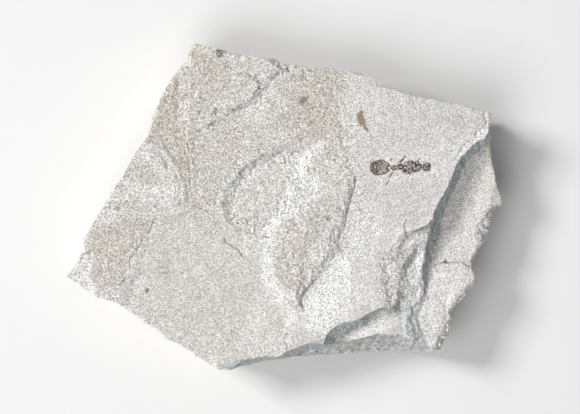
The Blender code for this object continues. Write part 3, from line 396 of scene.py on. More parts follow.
# Brown flecks of plant stuff, and small dark spots as (x, y, radius, strength). The spots are a
# little ragged, and fade out past their radius.
FLECKS = [
    [(2.29, 18.72), (2.83, 19.53), (3.55, 19.8), (4.27, 20.07), (4.18, 19.53), (3.73, 18.9),
     (3.19, 18.63), (2.83, 18.27)],
    [(12.91, 16.65), (13.46, 17.28), (13.99, 17.01), (14.17, 16.11), (14.54, 15.57), (14.54, 14.85),
     (14.98, 13.95), (14.89, 13.23), (14.35, 13.77), (13.81, 14.49), (13.46, 14.31), (13.09, 15.21),
     (12.91, 16.11)],
]
SPOTS = [
    (-11.56, 27.5, 0.6, 1.0), (-11.95, 27.75, 0.4, 1.0), (-11.2, 27.1, 0.3, 0.9),
    (-13.28, 14.76, 0.4, 0.9), (-30.11, -0.27, 0.36, 0.8), (-24.88, -15.21, 0.4, 0.9),
    (-21.46, -11.97, 0.2, 0.7), (-18.77, -12.15, 0.2, 0.7), (-4.72, -15.21, 0.2, 0.6),
    (0.14, -22.95, 0.22, 0.7), (8.23, 11.79, 0.29, 0.8), (-5.08, 6.75, 0.2, 0.5),
    (-23.98, 15.75, 0.2, 0.6), (-9.4, 10.17, 0.24, 0.6), (7.69, -2.16, 0.3, 0.9),
    (29.11, -10.05, 0.48, 1.0), (7.88, 10.71, 0.2, 0.5), (19.16, 8.51, 0.24, 1.0),
    (24.07, 8.37, 0.25, 0.7), (26.95, 5.4, 0.16, 0.5), (10.75, 13.41, 0.18, 0.5),
    (-6.25, 23.4, 0.17, 0.9), (-5.1, 22.45, 0.18, 0.9), (0.35, 24.9, 0.22, 0.8),
    (0.65, 24.45, 0.18, 0.8),
]

FLECK_BORDER = 0.2
STAIN_RAGGED = 0.35
STAIN_REACH = 1.45
STAIN_SIZE = 0.95

# How rough the stone is. Walls of shallow breaks vary in width and height along their lines.
SWELL_HEIGHT = 0.3
CALM_ROUGHNESS = 0.05
FINE_ROUGHNESS = 0.25
COARSE_GRAIN = 0.7
CRUMBLE = 0.085
FINE_CRUMBLE = 0.7
LEAST_WIDTH = 0.7
WIDTH_SPREAD = 0.8
OFFSET_SPREAD = 0.3

# The broken edge: nicks between its corners, and a rounded rim.
EDGE_STEP = 1.25
EDGE_JAG = 0.22
FINE_JAG = 0.13
EDGE_GAP = 0.18
RIM_WIDTH = 0.5
RIM_DROP = 0.22

# The sides lean inwards and have lumps, bedding, chips and layers, each with its depth and its
# length along X, Y and Z. The underside is dimpled.
UNDERCUT = 1.3
SIDE_RELIEF = [(1.0, 2.9, 2.9, 2.4), (0.7, 11.0, 11.0, 1.1), (0.22, 0.8, 0.8, 0.6),
               (0.18, 5.0, 5.0, 0.35)]
SIDE_ONSET = 5.0
FOOT_CHAMFER = 0.6
FOOT_HEIGHT = 0.5
DIMPLE_HEIGHT = 0.12
DIMPLE_BORDER = 2.0
SIDE_RIM = 0.6
# The sides' share of the slate grey, which is partly painted shade.
SIDE_FRESH_AND_SHADE = 0.35

# --- The ant, in millimetres: its plates' outlines, and what marks them. ---

BED_DEPTH = 0.14
BED_EASE = 0.12
FILM_LIFT = 0.03
FILM_BASE = SLAB_LEVEL - BED_DEPTH + FILM_LIFT
FILM_THICKNESS = 0.13
LEAST_THICKNESS = 0.06
LEG_THICKNESS = 0.12
LEG_CROWN = 0.08
LEG_BEVEL = 0.12
SEAM_WIDTH = 0.09
SEAM_DEPTH = 0.07
CREASE_BORDER = 0.15
FILM_RELIEF = 0.035
FINE_FILM_RELIEF = 0.02
LEG_RELIEF = 0.015
FILM_RAGGED = 0.03

# How dark the film is: at its edge, in its seams and wrinkles, at its spots and at random, with the
# widths over which that fades. The sum is shifted and its contrast raised about the middle.
EDGE_INK, EDGE_INK_WIDTH = 0.5, 0.15
SEAM_INK, SEAM_INK_WIDTH = 0.38, 0.11
WRINKLE_INK, WRINKLE_WIDTH = 0.42, 0.22
SPOT_INK, SPOT_SOFTNESS = 1.1, 1.5
UNEVEN_INK = 0.3
INK_SHIFT = 0.12
INK_CONTRAST = 2.2
MIDDLE_INK = 0.42
PLUM_FROM = 19.6
PLUM_BLEND = 1.4

# The stone is calm round the ant, and its points are close together under it.
QUIET_CENTRE = (20.7, 6.8)
QUIET_RADIUS = 7.5
QUIET_FADE = 4.0
ANT_LOW = (14.8, 3.6)
ANT_HIGH = (26.6, 9.5)

# Each plate's outline, rings of dark seams and black spots as (x, y, radius), the height of its
# crown, the half width over which it rises to it, and how dark its left and right ends are.
PLATES = {
    "ant_gaster": dict(crown=0.26, half=1.2, shade=(0.72, 0.33), line=[
        (15.31, 6.93), (15.35, 7.4), (15.56, 7.8), (15.97, 8.1), (16.52, 8.33), (17.05, 8.43),
        (17.59, 8.38), (18.13, 8.12), (18.56, 7.83), (18.83, 7.49), (18.9, 7.2), (18.59, 7.17),
        (18.29, 7.0), (18.53, 6.77), (18.84, 6.73), (18.76, 6.55), (18.46, 6.24), (18.0, 5.95),
        (17.41, 5.74), (16.7, 5.6), (16.06, 5.74), (15.56, 6.15), (15.35, 6.53)],
        seams=[(18.5, 7.05, 0.72), (18.5, 7.05, 1.22), (18.5, 7.05, 1.9),
        (18.5, 7.05, 2.7)], spots=[
        (16.45, 7.2, 0.13), (16.5, 6.85, 0.12), (16.38, 6.52, 0.15), (16.42, 6.15, 0.17),
        (16.72, 6.48, 0.12), (15.98, 7.42, 0.12), (15.62, 7.2, 0.1), (16.3, 7.55, 0.1),
        (16.95, 7.3, 0.09)]),
    "ant_petiole": dict(crown=0.15, half=0.4, shade=(0.45, 0.5), line=[
        (19.07, 7.0), (19.21, 7.3), (19.47, 7.42), (19.79, 7.38), (20.04, 7.28), (20.25, 7.45),
        (20.5, 7.62), (20.75, 7.74), (20.96, 7.78), (20.98, 7.36), (20.7, 7.26), (20.42, 7.16),
        (20.28, 7.03), (20.42, 6.96), (20.7, 6.98), (20.95, 7.02), (20.95, 6.74), (20.6, 6.66),
        (20.28, 6.66), (20.04, 6.7), (19.79, 6.52), (19.5, 6.46), (19.21, 6.56), (19.08, 6.77)],
        seams=[(19.5, 6.95, 0.3)], spots=[
        (20.72, 7.52, 0.2), (20.5, 7.38, 0.15), (20.88, 7.6, 0.15), (20.5, 6.8, 0.12),
        (20.75, 6.85, 0.12), (19.62, 7.1, 0.1), (19.66, 6.8, 0.09)]),
    "ant_mesosoma": dict(crown=0.28, half=1.0, shade=(0.54, 0.59), line=[
        (21.02, 7.22), (21.1, 7.55), (21.38, 7.75), (21.73, 7.86), (21.98, 8.1), (22.36, 8.26),
        (22.81, 8.24), (23.1, 8.14), (23.32, 8.04), (23.56, 8.14), (23.93, 8.22), (24.08, 8.12),
        (24.03, 7.86), (24.28, 7.68), (24.42, 7.74), (24.5, 7.55), (24.5, 7.25), (24.58, 7.04),
        (24.42, 6.72), (24.04, 6.43), (23.71, 6.25), (23.28, 6.14), (22.92, 6.26), (22.67, 6.04),
        (22.27, 5.83), (21.73, 5.93), (21.31, 6.14), (21.09, 6.52)],
        seams=[(21.95, 7.0, 0.62), (23.6, 6.85, 0.52), (22.5, 7.2, 1.15)], spots=[
        (21.73, 7.3, 0.14), (21.9, 7.22, 0.12), (24.35, 7.45, 0.16), (24.4, 7.2, 0.13),
        (24.2, 7.5, 0.1), (22.85, 6.75, 0.11), (22.95, 6.4, 0.09), (21.25, 7.1, 0.11),
        (21.2, 6.75, 0.12), (22.96, 7.85, 0.1), (23.3, 7.15, 0.09), (23.9, 6.5, 0.1),
        (22.2, 6.9, 0.08)]),
    "ant_head": dict(crown=0.24, half=0.6, shade=(0.5, 0.5), line=[
        (24.68, 7.02), (24.78, 7.45), (24.98, 7.75), (25.3, 7.95), (25.7, 7.93), (26.03, 7.78),
        (26.13, 7.35), (26.08, 6.88), (25.92, 6.48), (25.55, 6.35), (25.14, 6.38), (24.84, 6.55),
        (24.71, 6.8)],
        seams=[(25.4, 7.15, 0.5), (25.45, 7.2, 0.2)], spots=[
        (25.25, 7.42, 0.1), (25.42, 7.22, 0.1), (25.6, 7.15, 0.1), (25.35, 7.05, 0.08),
        (25.1, 6.62, 0.13), (25.3, 6.55, 0.1), (25.75, 7.55, 0.09), (25.85, 7.25, 0.08)]),
}

# The legs' middle lines, as (x, y, width).
LEG_PATHS = {
    "ant_leg_upper": [(20.53, 7.87, 0.26), (20.78, 8.1, 0.2), (21.02, 8.32, 0.3),
        (21.3, 8.62, 0.22), (21.66, 9.13, 0.15)],
    "ant_leg_lower": [(19.43, 6.2, 0.24), (19.2, 6.0, 0.18), (19.07, 5.81, 0.22),
        (18.93, 5.5, 0.17), (18.86, 5.24, 0.15)],
    "ant_leg_lower_tip": [(18.68, 4.77, 0.17), (18.5, 4.4, 0.13), (18.21, 3.94, 0.12)],
}

# --- Noise ---

# Uneven patterns: the length of each one's features, and its own place in the noise.
PATTERNS = {
    "swell": (22.0, 1.5), "rim": (1.9, 6.5), "width": (2.6, 11.5), "offset": (4.0, 13.5),
    "side lean": (9.0, 14.5), "rough": (1.7, 21.5), "fine rough": (0.8, 33.5),
    "chips": (0.42, 29.5), "chip blocks": (0.7, 27.5), "splinters": (0.6, 23.5),
    "splinter blocks": (0.4, 25.5), "streaks": (0.6, 37.5), "fine streaks": (0.3, 35.5),
    "crack_dust_and_shade": (1.3, 31.5), "grain": (0.55, 41.5), "coarse grain": (1.1, 47.5),
    "nicks": (0.7, 51.5), "spots": (0.4, 61.5), "dimples": (4.5, 71.5), "film": (0.32, 81.5),
    "fine film": (0.16, 83.5), "seams": (0.5, 85.5), "wrinkles": (0.42, 87.5),
    "ink": (0.3, 89.5), "film edge": (0.2, 91.5), "leg": (0.15, 93.5), "leg ink": (0.3, 95.5),
}

# How points are moved: by how much, over which length, and the places in the noise for X and Y.
WARP = (0.28, 3.2, (3.5, 9.5))
RAGGED = (0.1, 0.9, (4.5, 8.5))
FLECK_BEND = (0.09, 0.35, (63.5, 65.5))
BLOCK_BEND = 0.35
BLOCK_KEYS = (5.5, 7.5)


def ease(share):
    """A smooth step from 0 to 1."""
    share = np.clip(share, 0.0, 1.0)
    return share * share * (3.0 - 2.0 * share)


def uneven(points, length, key):
    """Smooth noise between about -1 and 1 at each point, with features of the given length."""
    return np.array([2.0 * noise.noise(Vector((x / length, y / length, key))) for x, y in points])


def ripple(points, pattern):
    """The noise of a named pattern at each point."""
    return uneven(points, *PATTERNS[pattern])


def wobble(points, amount, length, keys):
    """A small move for each point, nearly the same for its neighbours."""
    return amount * np.column_stack([uneven(points, length, key) for key in keys])


def blocks(points, pattern):
    """A random value between -1 and 1 for each small block of stone."""
    size, key = PATTERNS[pattern]
    bent = points + wobble(points, BLOCK_BEND * size, size, BLOCK_KEYS)
    return np.array([2.0 * noise.cell(Vector((x / size, y / size, key))) - 1.0 for x, y in bent])


def warped(points):
    """Move points a little, so that a line drawn with straight stretches breaks as stone does."""
    return points + wobble(points, *WARP) + wobble(points, *RAGGED)


def unwarped(points):
    """The places that `warped` moves onto the given points, to within a few hundredths."""
    guess = points
    for _ in range(4):
        guess = guess - (warped(guess) - points)
    return guess


# --- Lines, points and meshes ---

# The furthest that the distance to a line is followed.
REACH = 4.0
GRID_LOOSENESS = 0.3
SHARP_ANGLE = math.radians(50.0)


def near_line(points, line):
    """Which points lie within reach of the box around a line."""
    low = np.min(line, axis=0) - REACH
    high = np.max(line, axis=0) + REACH
    return np.all((points > low) & (points < high), axis=1)


def filled(near, values, other):
    """The values at the near points, and one other value at the rest."""
    result = np.full(len(near), other)
    result[near] = values
    return result


def stretches(line, closed=True):
    """The start and the end of each straight stretch of a line."""
    corners = np.array(line)
    return list(zip(corners, np.roll(corners, -1, axis=0)))[:len(corners) if closed else -1]


def beside(points, start, end):
    """How far along a stretch each point lies, and the way from the stretch to the point."""
    along = end - start
    share = np.clip((points - start) @ along / (along @ along), 0.0, 1.0)
    return share, points - start - share[:, None] * along


def line_offset(points, line):
    """Each point's distance to an open line, if it is on its right, and how far from the ends."""
    near = near_line(points, line)
    close = points[near]
    lengths = np.hypot(*np.diff(np.array(line), axis=0).T)
    passed = np.concatenate(([0.0], np.cumsum(lengths)))
    nearest = np.full(len(close), np.inf)
    right = np.zeros(len(close), dtype=bool)
    place = np.zeros(len(close))
    for index, (start, end) in enumerate(stretches(line, closed=False)):
        along = end - start
        share, offset = beside(close, start, end)
        distance = offset[:, 0] ** 2 + offset[:, 1] ** 2
        closer = distance < nearest
        nearest = np.where(closer, distance, nearest)
        right = np.where(closer, along[0] * offset[:, 1] - along[1] * offset[:, 0] < 0.0, right)
        place = np.where(closer, passed[index] + share * lengths[index], place)
    from_ends = np.minimum(place, passed[-1] - place)
    distance = filled(near, np.sqrt(nearest), REACH)
    return distance, filled(near, right, False), filled(near, from_ends, 0.0)


def inside_distance(points, line):
    """The distance from each point to a closed line, positive inside it."""
    near = near_line(points, line)
    close = points[near]
    nearest = np.full(len(close), np.inf)
    inside = np.zeros(len(close), dtype=bool)
    for start, end in stretches(line):
        _, offset = beside(close, start, end)
        nearest = np.minimum(nearest, offset[:, 0] ** 2 + offset[:, 1] ** 2)
        if start[1] != end[1]:
            (x, y), (run, rise) = start, end - start
            crossing = x + (close[:, 1] - y) * run / rise
            spans = (y > close[:, 1]) != (end[1] > close[:, 1])
            inside ^= spans & (close[:, 0] < crossing)
    return filled(near, np.where(inside, 1.0, -1.0) * np.sqrt(nearest), -REACH)


def well_inside(points, outline):
    """Only the points that are a little inside the slab's broken outline."""
    loose = inside_distance(points, SLAB_OUTLINE)
    keep = loose >= 1.0 + EDGE_GAP
    unsure = (loose > -0.1) & ~keep
    keep[unsure] = inside_distance(points[unsure], outline) > EDGE_GAP
    return points[keep]


def along_line(line, step, closed=True):
    """Points and inward normals along a line, at about the given step."""
    corners = np.array(line)
    following = np.roll(corners, -1, axis=0)
    turn = np.sum(corners[:, 0] * following[:, 1] - following[:, 0] * corners[:, 1])
    points = []
    normals = []
    for start, end in stretches(line, closed):
        along = end - start
        length = math.hypot(*along)
        count = max(1, round(length / step))
        normal = np.array((-along[1], along[0])) / length * math.copysign(1.0, turn)
        points += [start + along * index / count for index in range(count)]
        normals += [normal] * count
    return np.array(points), np.array(normals)


def grid_points(low, high, step, seed):
    """Loosely spaced points over a box."""
    picker = random.Random(seed)
    row_step = step * math.sqrt(0.75)
    found = []
    for row in range(math.floor(low[1] / row_step), math.ceil(high[1] / row_step) + 1):
        for column in range(math.floor(low[0] / step), math.ceil(high[0] / step) + 1):
            x = (column + 0.5 * (row % 2) + GRID_LOOSENESS * (picker.random() - 0.5)) * step
            y = (row + GRID_LOOSENESS * (picker.random() - 0.5)) * row_step
            found.append((x, y))
    return np.array(found)


def spaced(points, least):
    """Leave out each point that is too near one that is already kept."""
    kept = []
    cells = {}
    around = [(i, j) for i in (-1, 0, 1) for j in (-1, 0, 1)]
    for point in points:
        column = math.floor(point[0] / least)
        row = math.floor(point[1] / least)
        near = [other for i, j in around for other in cells.get((column + i, row + j), [])]
        if all(math.dist(point, other) >= least for other in near):
            cells.setdefault((column, row), []).append(point)
            kept.append(point)
    return np.array(kept)


def gaps_to(points, others):
    """The distance from each point to the nearest of the others."""
    tree = kdtree.KDTree(len(others))
    for index, (x, y) in enumerate(others):
        tree.insert((x, y, 0.0), index)
    tree.balance()
    return np.array([tree.find((x, y, 0.0))[2] for x, y in points])


def sheet(outline, inner):
    """Triangles over an outline and its inner points, and where the outline's points ended up."""
    flat = np.concatenate((outline, inner))
    edges = [(index, (index + 1) % len(outline)) for index in range(len(outline))]
    made = delaunay_2d_cdt([Vector(point) for point in flat], edges, [], 1, 1e-6)
    border = [0] * len(outline)
    for index, source in enumerate(made[3]):
        for origin in source:
            if origin < len(outline):
                border[origin] = index
    return np.array([tuple(point) for point in made[0]]), [list(face) for face in made[2]], border


def closed_solid(name, places, faces, border, rings, underside=None):
    """Join an upper sheet, rings down its sides and an underside into one closed mesh object."""
    vertices = [tuple(place) for place in places]
    polygons = list(faces)
    upper = border
    for ring in rings:
        lower = list(range(len(vertices), len(vertices) + len(ring)))
        vertices += [tuple(place) for place in ring]
        for index in range(len(lower)):
            after = (index + 1) % len(lower)
            polygons.append([upper[index], upper[after], lower[after], lower[index]])
        upper = lower
    if underside is None:
        polygons.append(upper)
    else:
        below, below_faces, below_border = underside
        place_of = {index: upper[order] for order, index in enumerate(below_border)}
        for index, place in enumerate(below):
            if index not in place_of:
                place_of[index] = len(vertices)
                vertices.append(tuple(place))
        polygons += [[place_of[index] for index in reversed(face)] for face in below_faces]
    mesh = bpy.data.meshes.new(name)
    mesh.from_pydata((np.array(vertices) * MM).tolist(), [], polygons)
    piece = bpy.data.objects.new(name, mesh)
    bpy.context.scene.collection.objects.link(piece)
    finish_shape(piece)
    return piece


def finish_shape(piece):
    """Turn every face outwards and shade the piece smoothly, except over its sharp breaks."""
    bpy.ops.object.select_all(action="DESELECT")
    bpy.context.view_layer.objects.active = piece
    piece.select_set(True)
    bpy.ops.object.mode_set(mode="EDIT")
    bpy.ops.mesh.select_all(action="SELECT")
    bpy.ops.mesh.normals_make_consistent(inside=False)
    bpy.ops.object.mode_set(mode="OBJECT")
    bpy.ops.object.shade_smooth_by_angle(angle=SHARP_ANGLE)
    piece.select_set(False)


def flat_places(piece):
    """The place of each of a piece's vertices, seen from above."""
    return np.array([tuple(vertex.co) for vertex in piece.data.vertices])[:, :2] / MM


def paint(piece, name, values):
    """Keep a value for each vertex as an attribute that the piece's material reads."""
    attribute = piece.data.attributes.new(name, "FLOAT", "POINT")
    attribute.data.foreach_set("value", np.asarray(values, dtype=np.float32))


# --- The slab ---

def cut_values(points, cuts):
    """The floor's depth, and the wall's width, the lip's width and its share, between the cuts."""
    places, *columns = zip(*cuts)
    return [np.interp(points[:, 1], places, column) for column in columns]


def wall_width(points, shape):
    """The width of a break's wall at each point."""
    if "cuts" in shape:
        return cut_values(points, shape["cuts"])[1]
    if "widths" in shape:
        return np.interp(points[:, 0], *zip(*shape["widths"]))
    ends = [x for x, y in shape["line"]]
    share = (points[:, 0] - min(ends)) / (max(ends) - min(ends))
    return shape["walls"][0] + (shape["walls"][1] - shape["walls"][0]) * ease(share)


def wall_drop(points, distance, width, shape):
    """The share of its depth that a break has come down: steep below a sharp lip, then easier."""
    if "cuts" in shape:
        _, _, lip, lip_share = cut_values(points, shape["cuts"])
        steep = 1.0 - (1.0 - np.clip(distance / lip, 0.0, 1.0)) ** LIP_EASE
        gentle = 1.0 - (1.0 - np.clip((distance - lip) / (width - lip), 0.0, 1.0)) ** FOOT_EASE
        return lip_share * steep + (1.0 - lip_share) * gentle
    share = np.clip(distance / width, 0.0, 1.0)
    if shape.get("offset", -1.0) > 0.0 and "ease" not in shape:
        return share ** WALL_EASE
    return 1.0 - (1.0 - share) ** shape.get("ease", WALL_EASE)


def offset_of(points, shape):
    """How far a shallow break raises or lowers each point, where it may be tilted."""
    x, y = shape.get("point", (0.0, 0.0))
    slope_x, slope_y = shape.get("tilt", (0.0, 0.0))
    change = shape["offset"] + slope_x * (points[:, 0] - x) + slope_y * (points[:, 1] - y)
    return np.clip(change, *shape.get("limits", (-1.0, 1.0)))


def floor_height(points, distance, width, shape):
    """The height of a break's floor at each point."""
    if "cuts" in shape:
        foot = cut_values(points, shape["cuts"])[0]
        climb = HOLLOW_CLIMB * ease((points[:, 1] - TONGUE_TOP) / TONGUE_BLEND)
        return SLAB_LEVEL - foot + climb * np.maximum(distance - width, 0.0)
    x, y = shape.get("point", (0.0, 0.0))
    depth = shape["floor"] + shape.get("deeper_x", 0.0) * (points[:, 0] - x)
    return SLAB_LEVEL - depth - shape.get("deeper_y", 0.0) * (points[:, 1] - y)


def fresh_face(points, distance, width, shape):
    """Slate grey and painted shade at each point of a break's face, less in the hollow's tongue."""
    if "cuts" not in shape:
        return ease(distance / FRESH_AND_SHADE_ONSET) * ease((width + FRESH_AND_SHADE_ONSET - distance) / FRESH_AND_SHADE_FADE)
    lip = cut_values(points, shape["cuts"])[2]
    on_face = ease(distance / FRESH_AND_SHADE_ONSET) * ease((lip + FRESH_AND_SHADE_ONSET - distance) / FRESH_AND_SHADE_FADE)
    above = ease((points[:, 1] - TONGUE_TOP + TONGUE_FRESH_AND_SHADE_DEPTH) / TONGUE_BLEND)
    return on_face * (TONGUE_FRESH_AND_SHADE + (1.0 - TONGUE_FRESH_AND_SHADE) * above)


def bed_depth(points):
    """How far the ant's bed lies below the calm surface at each point."""
    sunk = np.zeros(len(points))
    for plate in PLATES.values():
        distance = inside_distance(points, plate["line"])
        sunk = np.maximum(sunk, ease(1.0 + distance / BED_EASE))
    for path in LEG_PATHS.values():
        distance, _, _ = line_offset(points, [(x, y) for x, y, width in path])
        half = 0.5 * max(width for x, y, width in path)
        sunk = np.maximum(sunk, ease((half + BED_EASE - distance) / BED_EASE))
    return BED_DEPTH * sunk


def splinters(points, lean):
    """The height and the tint of the streaks in splintered stone that leans by an angle."""
    across = points[:, 0] * np.sin(lean) - points[:, 1] * np.cos(lean)
    along = points[:, 0] * np.cos(lean) + points[:, 1] * np.sin(lean)
    tall = np.column_stack((across, SPLINTER_SHARE * along))
    height = 0.6 - 1.2 * np.abs(ripple(tall, "splinters")) + 0.6 * blocks(tall, "splinter blocks")
    return height, np.clip(ripple(tall, "fine streaks") + ripple(tall, "streaks"), -1.0, 1.0)


def surface_height(points, grain):
    """The upper face's height at each point, how broken it is, its cracks' dust and painted shade,
    its faces' slate grey and painted shade, and how streaked it is.
    """
    from_ant = np.hypot(points[:, 0] - QUIET_CENTRE[0], points[:, 1] - QUIET_CENTRE[1])
    loud = ease((from_ant - QUIET_RADIUS) / QUIET_FADE)
    height = SLAB_LEVEL + loud * SWELL_HEIGHT * ripple(points, "swell")
    rough = CALM_ROUGHNESS * loud
    crumbly, splintered, lean, fresh, crack_dust_and_shade_mask = np.zeros((5, len(points)))
    bent = warped(points)
    wider = LEAST_WIDTH + WIDTH_SPREAD * np.clip(0.5 + 0.6 * ripple(points, "width"), 0.0, 1.0)
    deeper = 1.0 + OFFSET_SPREAD * ripple(points, "offset")
    for name, shape in BREAKS.items():
        distance = inside_distance(bent, shape["line"])
        width = wall_width(points, shape) * (wider if "offset" in shape else 1.0)
        down = wall_drop(points, distance, width, shape)
        if "offset" in shape:
            height = height + offset_of(points, shape) * down * deeper
        else:
            floor = floor_height(points, distance, width, shape)
            height = height + (np.minimum(floor, height) - height) * down
            crumbly = crumbly * (1.0 - down)
            splintered = splintered * (1.0 - down)
            fresh = fresh * (1.0 - down)
        rough = rough + (shape.get("rough", CALM_ROUGHNESS) - rough) * down * loud
        share = distance / width
        on_wall = ease(CRUMBLE_ONSET * share) * ease(CRUMBLE_FADE * (CRUMBLE_END - share))
        crumbly = np.maximum(crumbly, shape.get("crumble", 1.0) * on_wall)
        # The slate grey on a break's face: stone that has not weathered, and painted shade on faces
        # turned from the light.
        on_face = fresh_face(points, distance, width, shape)
        fresh = np.maximum(fresh, shape.get("fresh", 0.0) * on_face)
        if name in SPLINTERED:
            splintered = np.maximum(splintered, ease(distance / SPLINTER_BORDER))
            lean = np.where(distance > SPLINTER_START, math.radians(SPLINTERED[name]), lean)
    rim = inside_distance(points, SLAB_OUTLINE)
    height = height - RIM_DROP * (1.0 - ease(rim / RIM_WIDTH)) * (1.0 + ripple(points, "rim"))
    rolling = ripple(points, "rough") + FINE_ROUGHNESS * ripple(points, "fine rough")
    height = height + rough * rolling
    chips = CRUMBLE * blocks(points, "chip blocks")
    height = height + crumbly * (chips + FINE_CRUMBLE * CRUMBLE * ripple(points, "chips"))
    splinter_height, streaks = splinters(points, lean)
    height = height + splintered * SPLINTER_HEIGHT * splinter_height
    # Cracks are painted dark as dust and as painted shade, unevenly along them.
    dust_and_shade = 0.6 + 0.4 * ripple(points, "crack_dust_and_shade")
    for width, depth, line in CRACKS:
        distance, _, from_ends = line_offset(bent, line)
        gape = ease(1.0 - distance / width) * ease((from_ends + 0.1) / 0.5)
        height = height - depth * gape
        crack_dust_and_shade_mask = np.maximum(crack_dust_and_shade_mask, gape * dust_and_shade)
    for drop, fade, line in LIPS:
        distance, right, from_ends = line_offset(bent, line)
        fading = np.exp(-distance / fade) * ease((REACH - distance) / REACH)
        step = drop * right * ease(distance / LIP_STEP)
        height = height - step * fading * ease(from_ends / LIP_END)
    grains = ripple(points, "grain") + COARSE_GRAIN * ripple(points, "coarse grain")
    height = height + grain * grains
    broken = np.minimum(np.maximum(crumbly, splintered), 1.0)
    return height - bed_depth(points), broken, crack_dust_and_shade_mask, fresh, splintered * streaks


def broken_outline(step):
    """The slab's outline with inward nicks, large between its corners and small between those."""
    points, normals = along_line(SLAB_OUTLINE, EDGE_STEP)
    corners = {tuple(corner) for corner in SLAB_OUTLINE}
    picker = random.Random(SEED)
    for index, (point, normal) in enumerate(zip(points, normals)):
        if tuple(point) not in corners:
            points[index] = point + normal * EDGE_JAG * picker.random()
    fine, normals = along_line(points, step)
    nicks = FINE_JAG * (0.5 + 0.5 * np.clip(ripple(fine, "nicks"), -1.0, 1.0))
    return fine + normals * nicks[:, None]


def ledge_points(step):
    """Points over every break's wall, from its top to its foot, and over cracks and lips."""
    found = []
    for shape in BREAKS.values():
        tops, normals = along_line(shape["line"], step)
        width = wall_width(tops, shape)
        found.append(tops)
        for share in np.linspace(0.0, 1.0, 2 + int(width.max() / 0.5))[1:]:
            feet = tops + normals * (width * share)[:, None]
            apart = inside_distance(feet, shape["line"])
            found.append(feet[apart > 0.9 * width * share])
    for width, _, line in CRACKS:
        middle, normals = along_line(line, 0.7 * step, closed=False)
        found += [middle + normals * side * width for side in (0.0, -1.0, 1.0)]
    for _, _, line in LIPS:
        middle, normals = along_line(line, 0.8 * step, closed=False)
        found += [middle, middle + 0.25 * normals, middle - 0.25 * normals]
    return unwarped(np.concatenate(found))


def side_relief(x, y, z):
    """How far lumps, bedding, chips and layers set a place on the sides inwards."""
    relief = 0.0
    for depth, along_x, along_y, along_z in SIDE_RELIEF:
        relief += depth * (0.5 + noise.noise(Vector((x / along_x, y / along_y, z / along_z))))
    return relief


def side_rings(outline, border_heights, levels):
    """The broken sides, ring by ring, from just under the upper edge down to the underside."""
    tangents = np.roll(outline, -5, axis=0) - np.roll(outline, 5, axis=0)
    inward = np.column_stack((tangents[:, 1], -tangents[:, 0]))
    inward = inward / np.hypot(inward[:, 0], inward[:, 1])[:, None]
    lean = 0.5 + 0.5 * ripple(outline, "side lean")
    rings = []
    for level in range(1, levels + 1):
        fraction = level / levels
        ring = []
        for index, (x, y) in enumerate(outline):
            z = border_heights[index] * (1.0 - fraction)
            relief = side_relief(x, y, z) * min(1.0, SIDE_ONSET * fraction)
            inset = UNDERCUT * fraction * lean[index] + relief
            inset += FOOT_CHAMFER * max(0.0, 1.0 - z / FOOT_HEIGHT)
            ring.append((x + inward[index][0] * inset, y + inward[index][1] * inset, z))
        rings.append(np.array(ring))
    return rings


def break_faces(places):
    """Push steep faces in and out a little, so that the stone's thin layers show on them."""
    shifted = places.copy()
    for index, (x, y, z) in enumerate(places):
        layers = noise.noise(Vector((x / 6.0, y / 6.0, z / 0.4)))
        chips = noise.noise(Vector((x / 0.9, y / 0.9, z / 0.9 + 7.5)))
        for axis in (0, 1):
            shifted[index][axis] += LAYER_SHIFT[axis] * layers + CHIP_SHIFT[axis] * chips
    return shifted


def steepness(flat, rim):
    """How much each point lies on the steep face of a deep break, away from the slab's rim."""
    steep = np.zeros(len(flat))
    bent = warped(flat)
    for name in DEEP_BREAKS:
        shape = BREAKS[name]
        width = np.minimum(wall_width(flat, shape), STEEP_WIDTH)
        share = inside_distance(bent, shape["line"]) / width
        steep = np.maximum(steep, ease(share / 0.15) * ease((1.15 - share) / 0.3))
    return steep * ease((rim - 0.3) / 0.5)


def patch_values(points, tint):
    """How much of one tint each point has."""
    bent = warped(points)
    if tint != "fresh":
        bent = bent + 0.5 * (warped(points * 2.0) - points * 2.0)
    value = np.zeros(len(points))
    for amount, soft, line in PATCHES[tint]:
        value = np.maximum(value, amount * ease(0.5 + inside_distance(bent, line) / soft))
    return value


def stain_values(points):
    """How dark the small black spots are at each point."""
    value = np.zeros(len(points))
    ragged = 1.0 + STAIN_RAGGED * ripple(points, "spots")
    for x, y, radius, strength in SPOTS:
        distance = np.hypot(points[:, 0] - x, points[:, 1] - y) * ragged
        dark = strength * ease(STAIN_REACH - distance / (STAIN_SIZE * radius))
        value = np.maximum(value, dark)
    return value


def fleck_values(points):
    """Where the brown flecks lie."""
    bent = points + wobble(points, *FLECK_BEND)
    value = np.zeros(len(points))
    for fleck in FLECKS:
        value = np.maximum(value, ease(0.5 + inside_distance(bent, fleck) / FLECK_BORDER))
    return value


def slab_points(outline, step, fine_step):
    """Points inside the outline: close together where the slab is broken and over the ant."""
    low = outline.min(axis=0)
    high = outline.max(axis=0)
    features = spaced(well_inside(ledge_points(fine_step), outline), 0.75 * fine_step)
    busy = grid_points(low, high, fine_step, SEED + 2)
    gaps = gaps_to(busy, features)
    over_ant = np.all((busy > ANT_LOW) & (busy < ANT_HIGH), axis=1)
    busy = busy[(gaps > 0.7 * fine_step) & ((gaps < 0.3) | over_ant)]
    calm = grid_points(low, high, step, SEED + 1)
    over_ant = np.all((calm > ANT_LOW) & (calm < ANT_HIGH), axis=1)
    calm = calm[(gaps_to(calm, features) > 0.3) & ~over_ant]
    return np.concatenate((features, well_inside(np.concatenate((busy, calm)), outline)))


